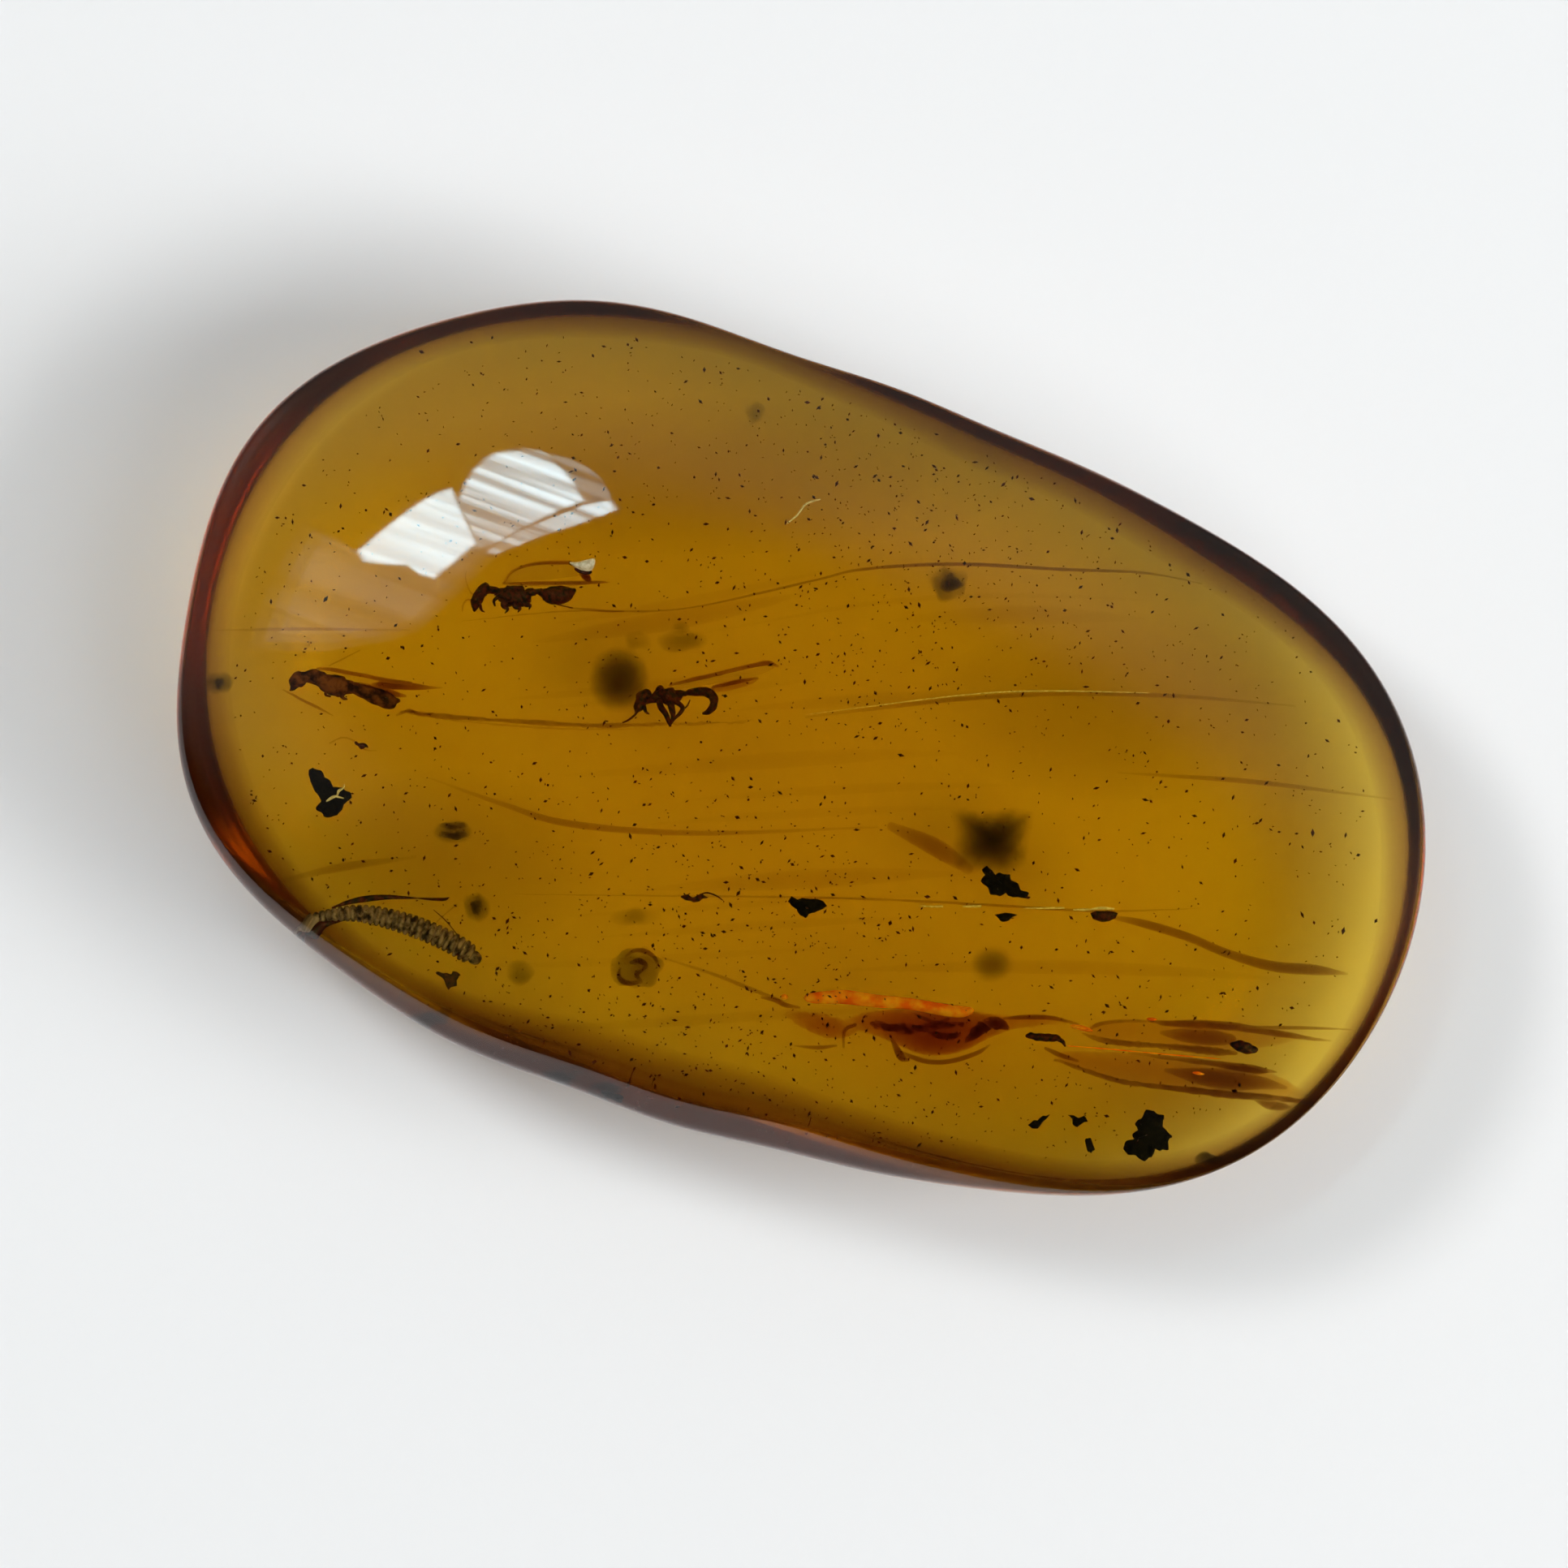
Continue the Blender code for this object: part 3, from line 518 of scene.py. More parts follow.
MIDDLE_WASP = (-2.78, 1.40, 3.7)
new_piece("middle_wasp_body", MIDDLE_WASP, [
    strand(16, [(-.64, -.24, 0, .05), (-.6, -.16, 0, .12), (-.55, -.04, 0, .13), (-.52, .08, 0, .12),
        (-.44, .14, 0, .09), (-.36, .08, 0, .05)], uneven=.015),
    strand(20, [(-.42, -.02, 0, .06), (-.32, 0, 0, .08), (-.22, .06, 0, .12), (-.15, .12, 0, .12),
        (-.04, .08, 0, .17), (.08, .06, 0, .19), (.2, .06, 0, .15), (.32, .12, 0, .07), (.42, .13, 0, .06)],
        uneven=.02),
    strand(20, [(.4, .13, 0, .05), (.54, .15, 0, .08), (.7, .16, 0, .09), (.86, .15, 0, .1),
        (.98, .08, 0, .1), (1.02, -.06, 0, .09), (.97, -.2, 0, .08), (.88, -.27, 0, .06), (.8, -.3, 0, .03)],
        uneven=.01),
    strand(8, [(-.62, -.24, .06, .03), (-.7, -.34, .1, .024), (-.84, -.44, .12, .02),
        (-.94, -.48, .12, .014)]),
    strand(8, [(-.48, -.16, .06, .05), (-.44, -.26, .1, .03), (-.38, -.3, .12, .015)]),
    strand(10, [(-.16, -.02, .08, .07), (-.12, -.16, .14, .07), (-.02, -.3, .16, .06), (.04, -.44, .16, .05),
        (.08, -.55, .16, .03)]),
    strand(10, [(.08, -.06, .08, .08), (.12, -.22, .14, .07), (.14, -.34, .16, .05), (.1, -.48, .18, .02)]),
    strand(10, [(.16, -.02, .08, .06), (.34, -.16, .12, .05), (.3, -.28, .14, .045), (.18, -.4, .16, .03),
        (.1, -.52, .16, .015)]),
    strand(6, [(.5, -.02, .08, .015), (.44, -.14, .12, .018), (.32, -.24, .12, .02)]),
    strand(8, [(-.2, .22, .1, .04), (-.14, .26, .12, .05), (-.08, .22, .1, .04)]),
], chitin, replaces=("wasp_middle",))
new_piece("middle_wasp_veins", MIDDLE_WASP, [
    strand(10, [(.06, .3, .1, .03), (.3, .36, .1, .04), (.59, .43, .12, .05), (1.02, .52, .12, .05),
        (1.48, .63, .12, .05), (1.9, .72, .12, .055), (2.17, .76, .1, .06), (2.38, .69, .1, .03)]),
    strand(10, [(1, .26, 0, .03), (1.3, .32, 0, .05), (1.6, .38, 0, .05), (1.94, .44, 0, .02)]),
], vein)
new_piece("middle_wasp_wings", MIDDLE_WASP, [
    blade(.015, .04, [(.1, .28, .1), (.5, .38, .1), (.9, .46, .1), (1.5, .6, .1), (2.1, .72, .1),
        (2.34, .68, .1)], [(.1, .2, .1), (.6, .26, .1), (1.1, .34, .1), (1.6, .44, .1), (2, .52, .1),
        (2.3, .64, .1)]),
], wing_film)
new_piece("middle_wasp_hind_wings", MIDDLE_WASP, [
    blade(.12, .02, [(.9, .24, -.06), (1.15, .34, -.06), (1.5, .42, -.06), (1.9, .46, -.06), (2, .44, -.06)],
        [(.9, .18, -.06), (1.1, .14, -.06), (1.4, .18, -.06), (1.75, .28, -.06), (1.98, .4, -.06)]),
], membrane)


# ---------------------------------------------------------------- the winged termite
# A termite on its side, head left, with its two long wings laid back far past its tail. Resin has
# soaked its thin red-brown skin. The bright orange along its back is painted reflection on an air film.

TERMITE = (4.21, -5.53, 3.15)
flesh = soaked("soaked_termite_skin", 1.2, 2.6, 5.0)
dark_flesh = soaked("soaked_termite_joints", 8.0, 12.0, 15.0)

new_piece("termite_body", TERMITE, [
    strand(24, [(-3.1, .08, 0, .08), (-2.95, .06, 0, .14), (-2.7, .08, 0, .22), (-2.4, .06, 0, .28),
        (-2.1, .02, 0, .36), (-1.8, -.04, 0, .42), (-1.4, -.12, 0, .5), (-1, -.14, 0, .5), (-.6, -.1, 0, .44),
        (-.3, -.04, 0, .36), (0, 0, 0, .26), (.5, .06, 0, .15), (.9, .08, 0, .13), (1.3, .1, 0, .1),
        (1.6, .06, 0, .06)], uneven=.02),
    strand(16, [(-4.4, .26, 0, .05), (-4, .16, 0, .18), (-3.5, 0, 0, .24), (-3.1, -.06, 0, .18),
        (-2.8, -.02, 0, .06)], uneven=.03),
], flesh, replaces=("winged_termite",))
new_piece("termite_joints", TERMITE, [
    strand(16, [(-2.56, .06, .1, .03), (-2.4, .02, .14, .07), (-2.1, -.04, .14, .1), (-1.7, -.08, .14, .09),
        (-1.2, -.02, .12, .07), (-.6, .04, .12, .05)], uneven=.04),
    strand(10, [(-2.9, .02, .16, .05), (-3.06, -.04, .18, .05), (-3.14, -.16, .2, .045),
        (-3.14, -.46, .2, .03)]),
    strand(12, [(-2.1, -.3, .16, .04), (-2, -.5, .2, .08), (-1.9, -.68, .22, .09), (-1.76, -.74, .22, .05)]),
    strand(12, [(-1.9, -.56, .1, .03), (-1.6, -.7, .14, .06), (-1.3, -.78, .16, .06), (-.9, -.78, .16, .06),
        (-.5, -.68, .14, .06), (-.2, -.56, .12, .05), (0, -.42, .1, .02)]),
    strand(12, [(-1.4, -.1, .2, .03), (-1.1, -.22, .24, .08), (-.8, -.24, .24, .07), (-.66, -.2, .22, .03)],
        uneven=.02),
    strand(14, [(-.5, -.34, .16, .05), (-.34, -.2, .2, .12), (-.2, -.08, .22, .14), (-.02, 0, .2, .12),
        (.2, .06, .18, .06)], uneven=.02),
    strand(14, [(-.1, .08, .2, .06), (.1, .04, .22, .14), (.24, 0, .22, .13), (.36, -.06, .2, .06)],
        uneven=.02),
    strand(12, [(.3, .14, .1, .03), (.7, .16, .12, .06), (1.1, .16, .12, .06), (1.45, .12, .12, .05),
        (1.9, 0, .1, .03)]),
    strand(10, [(-1.6, .24, .2, .03), (-1.2, .06, .26, .05), (-.9, .12, .26, .04)]),
    strand(10, [(-4.9, .62, .1, .03), (-4.6, .56, .1, .06), (-4.4, .46, .1, .06), (-4.1, .4, .1, .03)]),
    strand(10, [(-4.2, -.42, .1, .02), (-3.7, -.46, .1, .05), (-3.3, -.42, .1, .03)]),
], dark_flesh)
new_piece("termite_wing_stump", TERMITE, [
    strand(12, [(.8, -.22, .05, .04), (.92, -.24, .06, .075), (1.12, -.27, .06, .085),
        (1.34, -.28, .05, .085), (1.48, -.3, .05, .06)], uneven=.01),
    strand(10, [(1.44, -.3, .05, .05), (1.56, -.36, .05, .045), (1.62, -.46, .05, .02)]),
], chitin)

# The wing film is clear brown where it is single, and darker where it lies in folds.
new_piece("termite_wings", TERMITE, [
    blade(.16, .06, [(2, -.02, .1), (2.6, .06, .1), (3.4, .08, .1), (4.4, .04, .1), (5.6, -.1, .1),
        (7, -.26, .1)], [(2, -.2, .1), (2.5, -.36, .1), (3.2, -.44, .1), (4.2, -.54, .1), (5.4, -.6, .1),
        (6.8, -.4, .1)]),
    blade(.24, .06, [(1.4, -.56, -.1), (2, -.56, -.1), (3, -.62, -.1), (4.6, -.84, -.1), (5.8, -1, -.1),
        (6.8, -1.4, -.1)], [(1.4, -.74, -.1), (2, -.96, -.1), (2.8, -1.2, -.1), (4.2, -1.4, -.1),
        (5.6, -1.56, -.1), (6.9, -1.68, -.1)]),
], flesh)
new_piece("termite_wing_folds", TERMITE, [
    strand(12, [(2.1, -.14, .14, .02), (2.3, -.02, .14, .05), (2.6, .04, .14, .05), (3, .06, .14, .04),
        (3.5, .04, .14, .04), (3.8, 0, .14, .07), (4.4, -.02, .14, .1), (5, -.06, .14, .1),
        (5.6, -.14, .14, .09), (6.2, -.24, .14, .08), (6.9, -.36, .14, .05), (7.36, -.42, .12, .02)],
        flatness=.8, uneven=.01),
    strand(10, [(5.4, -.1, .14, .03), (6.2, -.12, .14, .045), (7, -.14, .14, .04), (7.8, -.18, .12, .015)]),
    strand(12, [(2, -.2, .12, .03), (2.4, -.34, .12, .06), (2.9, -.42, .12, .07), (3.4, -.46, .12, .06),
        (3.9, -.5, .12, .07), (4.4, -.56, .12, .09), (4.9, -.62, .12, .09), (5.3, -.66, .12, .05)],
        flatness=.8, uneven=.01),
    strand(14, [(3.7, -.2, .1, .05), (4.2, -.26, .1, .16), (4.8, -.32, .1, .18), (5.2, -.36, .1, .12)],
        flatness=.35),
    strand(12, [(3, -.62, -.08, .02), (3.9, -.74, -.08, .05), (4.8, -.86, -.08, .07), (5.4, -.96, -.08, .1),
        (5.8, -1.02, -.08, .09), (6.2, -1.06, -.08, .02)], uneven=.01),
    strand(12, [(1.4, -.74, -.08, .03), (1.9, -.92, -.08, .05), (2.4, -1.1, -.08, .06),
        (2.9, -1.24, -.08, .06), (3.6, -1.34, -.08, .06), (4.4, -1.44, -.08, .08), (5.2, -1.54, -.08, .09),
        (5.9, -1.6, -.08, .08), (6.6, -1.68, -.08, .06), (7.1, -1.74, -.08, .02)], uneven=.01),
    strand(14, [(3.8, -1, -.1, .05), (4.6, -1.14, -.1, .2), (5.3, -1.24, -.1, .22), (5.9, -1.3, -.1, .14),
        (6.4, -1.4, -.1, .04)], flatness=.3),
    strand(12, [(5.7, -1.62, -.1, .04), (6, -1.74, -.1, .12), (6.3, -1.8, -.1, .1), (6.5, -1.82, -.1, .03)],
        flatness=.6),
    strand(10, [(1.2, -.5, -.04, .04), (1.5, -.64, -.06, .06), (1.9, -.78, -.08, .03)]),
], dark_flesh)
new_piece("termite_wing_spot", TERMITE, [
    strand(12, [(5.2, -.46, .16, .04), (5.36, -.5, .16, .11), (5.56, -.56, .16, .12), (5.76, -.6, .16, .05)],
        uneven=.02),
], chitin)

# Air along the back of the termite: a crumpled film, its bright orange patches a painted reflection.
painted_glints = mottled(
    "painted_orange_glints", {"Roughness": 0.5, "Specular IOR Level": 0.0},
    "#F47410", "#FFBC3C", 0.3, 6.0, grain=(0.25, 0.02))
new_piece("termite_air_film", TERMITE, [
    blade(.04, .06, [(-4, .62, .3), (-3.86, .7, .3), (-3.15, .76, .34), (-2.45, .66, .36), (-1.74, .58, .36),
        (-1.03, .46, .36), (-.6, .4, .34), (-.34, .36, .3)], [(-4, .56, .3), (-3.8, .48, .3),
        (-3.15, .46, .34), (-2.45, .38, .36), (-1.74, .33, .36), (-1.03, .2, .36), (-.6, .16, .34),
        (-.34, .26, .3)], count=90),
    blade(.02, .02, [(-4.5, .66, .3), (-4.42, .68, .32), (-4.34, .64, .3)], [(-4.5, .6, .3),
        (-4.42, .56, .32), (-4.34, .58, .3)], count=16),
    blade(.02, .03, [(1.72, 0, .2), (1.98, -.03, .24), (2.22, -.12, .22)], [(1.72, -.06, .2),
        (1.96, -.14, .24), (2.22, -.18, .22)], count=20),
    blade(.02, .02, [(3.36, .12, .2), (3.48, .12, .22), (3.6, .1, .2)], [(3.36, .08, .2), (3.48, .05, .22),
        (3.6, .06, .2)], count=16),
    blade(.006, .006, [(1.65, -.45, .14), (2.4, -.51, .14), (3, -.57, .14), (3.9, -.66, .14), (5, -.77, .14)],
        [(1.65, -.47, .14), (2.4, -.54, .14), (3, -.6, .14), (3.9, -.69, .14), (5, -.79, .14)], count=90),
    blade(.02, .02, [(4.36, -1.04, .1), (4.5, -1.04, .12), (4.64, -1.08, .1)], [(4.36, -1.08, .1),
        (4.5, -1.12, .12), (4.64, -1.12, .1)], count=16),
], painted_glints)


# ---------------------------------------------------------------- the millipede
# A thin millipede, curved like a sickle, that tapers to its left end. Each body ring stands proud
# of the joint behind it. A thin layer of air over its dark skin makes it silver.

MILLIPEDE = (-8.45, -3.32, 3.4)
RING_LENGTH = 0.135
TAIL_RADIUS, BODY_GROWTH = 0.10, 0.145
GROOVE_DEPTH = 0.26  # as a share of the radius

# Silvered skin: grey where air lies on the cuticle, brown-black where the resin wets it.
cuticle = mottled(
    "silvered_cuticle", {"Roughness": 0.5, "Specular IOR Level": 0.2},
    "#2A2020", "#A08E94", 0.16, grain=(0.05, 0.02))

SPINE = [(-2.1, .06), (-1.6, .14), (-1.1, .19), (-.65, .15), (-.1, .02), (.45, -.16), (.95, -.38),
         (1.3, -.58), (1.56, -.76)]


def ringed_body():
    """The spine with a radius that grows from the tail as a quarter sine and ends bluntly, times
    1 - GROOVE_DEPTH s. Here s is the groove between two rings: it is 1 at the joint and falls away as
    cos^6 on both sides."""
    t = np.linspace(0, len(SPINE) - 1, 420)
    line = through(SPINE, t)
    along = np.concatenate([[0], np.cumsum(np.hypot(*np.diff(line, axis=0).T))])
    share = along / along[-1]
    radius = TAIL_RADIUS + BODY_GROWTH * np.sin(np.clip(share * 1.5, 0, 1) * math.pi / 2)
    radius *= np.clip((1 - share) / 0.05, 0.3, 1) ** 0.4
    radius *= 1 - GROOVE_DEPTH * np.cos(math.pi * along / RING_LENGTH) ** 6
    return [(x, y, 0.0, r) for (x, y), r in zip(line, radius)]


new_piece("millipede_body", MILLIPEDE, [
    strand(24, ringed_body(), fine=1),
], cuticle, replaces=("millipede",))
new_piece("millipede_legs_and_feelers", MILLIPEDE, [
    strand(8, [(-1.55, .3, .1, .02), (-1.2, .42, .12, .05), (-.8, .5, .12, .07), (-.3, .54, .12, .05),
        (.3, .52, .1, .015)], flatness=.4),
    strand(6, [(.3, .52, .1, .012), (.62, .5, .1, .03), (.9, .5, .1, .035), (1, .54, .1, .01)]),
    strand(8, [(-2.1, 0, 0, .06), (-1.8, -.06, .02, .08), (-1.5, 0, .02, .04), (-1.2, .06, 0, .01)]),
    strand(6, [(.66, .27, .1, .008), (.93, .03, .12, .012), (1.2, -.3, .1, .01)]),
], chitin)


# ---------------------------------------------------------------- bark
# Broken flakes of bark and charred wood that fell into the resin. Their faces are rough and black.

def chunk(outline, thickness, place, lumps=0.03, seed=1, count=9, soft=0.7):
    """A flake: its outline shrinks by sin a and its height is thickness / 2 cos a, for a from 0 at
    the top to pi at the bottom, raised to a power that keeps it boxy or thins out its rim. Then it
    is made lumpy."""
    corners = np.array(list(outline) + [outline[0]], float)
    steps = np.linspace(0, len(outline), 8 * len(outline), endpoint=False)
    whole = steps.astype(int)
    part = (steps - whole)[:, None]
    rim = corners[whole] * (1 - part) + corners[whole + 1] * part
    a = np.linspace(0, math.pi, count)[:, None, None]
    middle = rim.mean(axis=0)
    flat = middle + (rim - middle)[None] * np.sin(a) ** (0.5 * soft)
    height = np.sign(np.cos(a)) * np.abs(np.cos(a)) ** soft * thickness / 2
    rings = np.concatenate([flat, np.broadcast_to(height, (count, len(rim), 1))], -1)
    rings[0, :, :2] = middle
    rings[-1, :, :2] = middle
    return skin(lumpy(rings, lumps, 0.25, seed) + np.asarray(place))


# Bark: black, porous and matt.
bark = mottled(
    "black_bark", {"Roughness": 0.8, "Specular IOR Level": 0.15},
    "#000000", "#0B0807", 0.1, grain=(0.06, 0.03))

BARK_LEFT = (-9.97, -.48, 3.9)
new_piece("left_bark_flake", IN_LAYERS, [
    chunk([(-.54, .4), (-.44, .46), (-.3, .4), (-.2, .28), (-.12, .17), (.01, .06), (.18, .02), (.32, -.05),
        (.39, -.18), (.32, -.26), (.2, -.34), (.16, -.46), (.07, -.56), (-.08, -.6), (-.24, -.58),
        (-.34, -.5), (-.38, -.38), (-.28, -.26), (-.34, -.14), (-.44, 0), (-.52, .16)], .28, BARK_LEFT, .02,
        seed=2),
], bark, replaces=("bark_left",))
new_piece("right_bark_flake", IN_LAYERS, [
    chunk([(-.42, .34), (-.36, .2), (-.44, .08), (-.3, -.04), (-.24, -.18), (-.06, -.24), (.08, -.16),
        (.26, -.26), (.54, -.28), (.6, -.18), (.42, -.1), (.34, .02), (.2, .1), (.16, .22), (-.04, .26),
        (-.14, .2), (-.24, .26), (-.32, .42)], .34, (4.44, -2.58, 4.1), .02, seed=5),
], bark, replaces=("bark_right",))
new_piece("middle_bark_flake", IN_LAYERS, [
    chunk([(-.4, .1), (-.3, .2), (-.18, .14), (-.06, .18), (.1, .14), (.26, .16), (.38, .08), (.44, 0),
        (.3, -.08), (.2, -.16), (.06, -.18), (-.04, -.26), (-.14, -.2), (-.18, -.08), (-.32, 0)], .26,
        (.24, -2.99, 4), .02, seed=7),
], bark, replaces=("bark_middle",))
new_piece("lower_right_bark_flake", IN_LAYERS, [
    chunk([(-.12, .42), (-.04, .54), (.12, .56), (.26, .46), (.36, .4), (.32, .22), (.42, .1), (.54, -.02),
        (.44, -.14), (.46, -.28), (.28, -.32), (.16, -.28), (.1, -.46), (-.08, -.54), (-.26, -.44),
        (-.42, -.42), (-.54, -.28), (-.46, -.14), (-.3, -.08), (-.32, .04), (-.2, .12), (-.28, .26)], .36,
        (7.63, -7.95, 3.3), .03, seed=9),
], bark, replaces=("bark_lower_right",))
new_piece("small_bark_crumbs", IN_LAYERS, [
    chunk([(-.24, -.06), (-.14, .06), (-.02, .04), (.06, .16), (.22, .2), (.12, .06), (.06, -.02),
        (-.04, -.12), (-.16, -.12)], .14, (5.29, -7.66, 3.4), .02, seed=11),
    chunk([(-.22, .14), (-.1, .14), (0, .08), (.12, .12), (.24, 0), (.12, -.02), (.02, -.12), (-.1, -.06),
        (-.12, .04)], .12, (6.12, -7.63, 3.4), .02, seed=12),
    chunk([(-.08, .2), (.04, .12), (.12, -.1), (.06, -.2), (-.04, -.06)], .08, (6.37, -8.16, 3.3), seed=13),
    chunk([(-.24, 0), (0, .05), (.26, .02), (.08, -.12), (-.04, -.12)], .1, (4.52, -3.22, 4), seed=14),
    chunk([(-.3, .08), (-.1, .16), (.2, .08), (.34, -.04), (.1, -.12), (-.2, -.08)], .16, (-7.8, -5.28, 2.9),
        seed=16),
    chunk([(-.3, .04), (-.1, .12), (.2, .1), (.34, -.02), (.1, -.1), (-.2, -.08)], .12, (-3.86, -6.62, 2.7),
        seed=17),
], bark)
# A hair of air in the crack across the left flake.
new_piece("left_bark_crack", BARK_LEFT, [
    strand(8, [(-.16, -.26, .16, .02), (-.04, -.18, .17, .034), (.06, -.14, .17, .02), (.1, -.04, .17, .03),
        (.2, .02, .16, .02), (.22, .1, .16, .012)], flatness=.5),
    strand(8, [(.02, -.16, .17, .02), (.12, -.18, .17, .02), (.2, -.2, .16, .012)]),
], white_air)
# A rough scrap of brown wood.
brown_wood = mottled("brown_wood", {"Roughness": 0.7}, "#1C0C04", "#4A240C", 0.15)
new_piece("brown_bark_scrap", IN_LAYERS, [
    chunk([(-.28, .2), (-.16, .12), (0, .14), (.08, .2), (.24, .12), (.12, .02), (.12, -.1), (-.04, -.22),
        (-.12, -.04)], .16, (-7.43, -4.55, 3.2), seed=15),
], brown_wood, replaces=("bark_brown",))


# ---------------------------------------------------------------- droppings
# Round droppings of wood dust. The resin soaked into them before it set, so each thins out towards
# its rim and fades into the resin round it.

def ball(size, place, seed, lumps=0.03, soft=2.2):
    """A round body: radius sin a, height cos a to a power, for a from 0 to pi, then made lumpy. A
    power over 1 thins it out towards its rim."""
    a = np.linspace(0, math.pi, 21)[:, None]
    v = np.linspace(0, 2 * math.pi, 24, endpoint=False)[None]
    high = np.sign(np.cos(a)) * np.abs(np.cos(a)) ** soft
    rings = np.stack(np.broadcast_arrays(np.sin(a) * np.cos(v), np.sin(a) * np.sin(v), high + 0 * v), -1)
    return skin(lumpy(rings * np.asarray(size) / 2, lumps, 0.35, seed) + np.asarray(place))


dust = soaked("soaked_dust", 2.2, 2.2, 3.0)
black_dust = soaked("black_soaked_dust", 5.0, 5.0, 5.0)

# Each dropping's size, place, seed, height of its lumps and power of its rim.
DROPPINGS = {
    "middle": ((1.35, 1.4, .95), (-3.78, 1.82, 1.7), 21, .02, 3.0),
    "upper_right": ((.88, .76, .58), (3.21, 3.78, 2.6), 23, .04, 2.2),
    "left": ((.86, .5, .48), (-7.32, -1.34, 2.55), 25, .015, 2.2),
    "lower_left": ((.56, .68, .56), (-6.8, -2.93, 2.4), 28, .03, 2.2),
    "lower": ((1.1, .9, .5), (-3.38, -4.24, 2.8), 29, .04, 1.0),
    "rim": ((.66, .5, .5), (-12.45, 1.8, 3.4), 30, .03, 2.2),
}
for name, measures in DROPPINGS.items():
    new_piece(f"{name}_dropping", IN_LAYERS, [ball(*measures)], dust,
              replaces=(f"dropping_{name}",))
new_piece("dropping_cores", IN_LAYERS, [
    ball((.5, .42, .34), (3.3, 3.8, 2.6), 24),
    ball((.66, .18, .26), (-7.28, -1.42, 2.55), 26),
    ball((.66, .16, .26), (-7.32, -1.22, 2.55), 27),
    ball((.34, .36, .24), (-6.82, -2.93, 2.4), 22),
    ball((.3, .3, .2), (-12.45, 1.8, 3.4), 22),
], black_dust)
new_piece("deep_bark_flake", IN_LAYERS, [
    chunk([(-.92, .74), (-.6, .8), (-.3, .7), (.1, .76), (.5, .78), (.86, .68), (.84, .36), (.74, .02),
        (.76, -.34), (.5, -.56), (.34, -.66), (-.1, -.6), (-.44, -.54), (-.8, -.44), (-.86, 0), (-.82, .34)],
        .62, (4.22, -1.72, 1.8), .015, 31, count=21, soft=2.8),
], black_dust, replaces=("bark_deep",))
# Crumbs of soil and wood that the lower rim catches.
new_piece("rim_crumbs", IN_LAYERS, [
    ball((.9, .34, .3), (-7.75, -5.2, 3.5), 61, .04, 1.0),
    ball((.7, .3, .3), (-3.95, -6.62, 3.4), 62, .04, .8),
    ball((1, .26, .3), (-5.1, -6.38, 3.3), 63, .04, 1.0),
    ball((.5, .24, .3), (8.9, -8.45, 3.3), 64, .03, .9),
], black_dust)
# What is left of a curled grub in the lowest dropping.
new_piece("lower_dropping_core", DROPPINGS["lower"][1], [
    strand(10, [(-.36, -.02, .1, .03), (-.38, -.18, .1, .05), (-.3, -.3, .1, .07), (-.1, -.34, .1, .06),
        (.1, -.3, .1, .04)]),
    strand(10, [(-.12, .1, .12, .04), (.06, .14, .12, .07), (.2, .04, .12, .06), (.12, -.06, .12, .04),
        (0, -.16, .12, .06), (.08, -.28, .12, .04)]),
    strand(10, [(-.24, .24, .08, .02), (-.04, .36, .08, .05), (.2, .34, .08, .06), (.38, .22, .08, .05),
        (.46, .06, .08, .03)]),
], dark_flesh)
new_piece("faint_dust_clouds", IN_LAYERS, [
    ball((1, .4, .24), (-3.4, -3.12, 1.9), 32),
    ball((.62, .56, .4), (-5.87, -4.29, 2), 33),
    ball((.95, .8, .5), (4.24, -4.19, 2), 34, .02, 3.0),
    ball((.46, .56, .24), (-.94, 7.42, 2.2), 35),
    ball((1.1, .5, .34), (-2.48, 2.6, 2.2), 36),
    ball((.4, .32, .26), (-2.5, 2.86, 2.2), 37),
    ball((.9, .24, .3), (-5.2, -6.42, 2.6), 39),
    ball((.6, .4, .2), (-3.4, 2.62, 2.2), 38),
], dust)


# ---------------------------------------------------------------- resin flow and small matter
# Each flow of resin skinned over before the next ran across it. The skins between them are brown
# sheets seen edge on, and thousands of specks of dust stuck to them.

seam_skin = soaked("seam_skin", 2.6, 3.6, 5.0)
thin_skin = soaked("thin_seam_skin", 0.9, 1.3, 2.0)

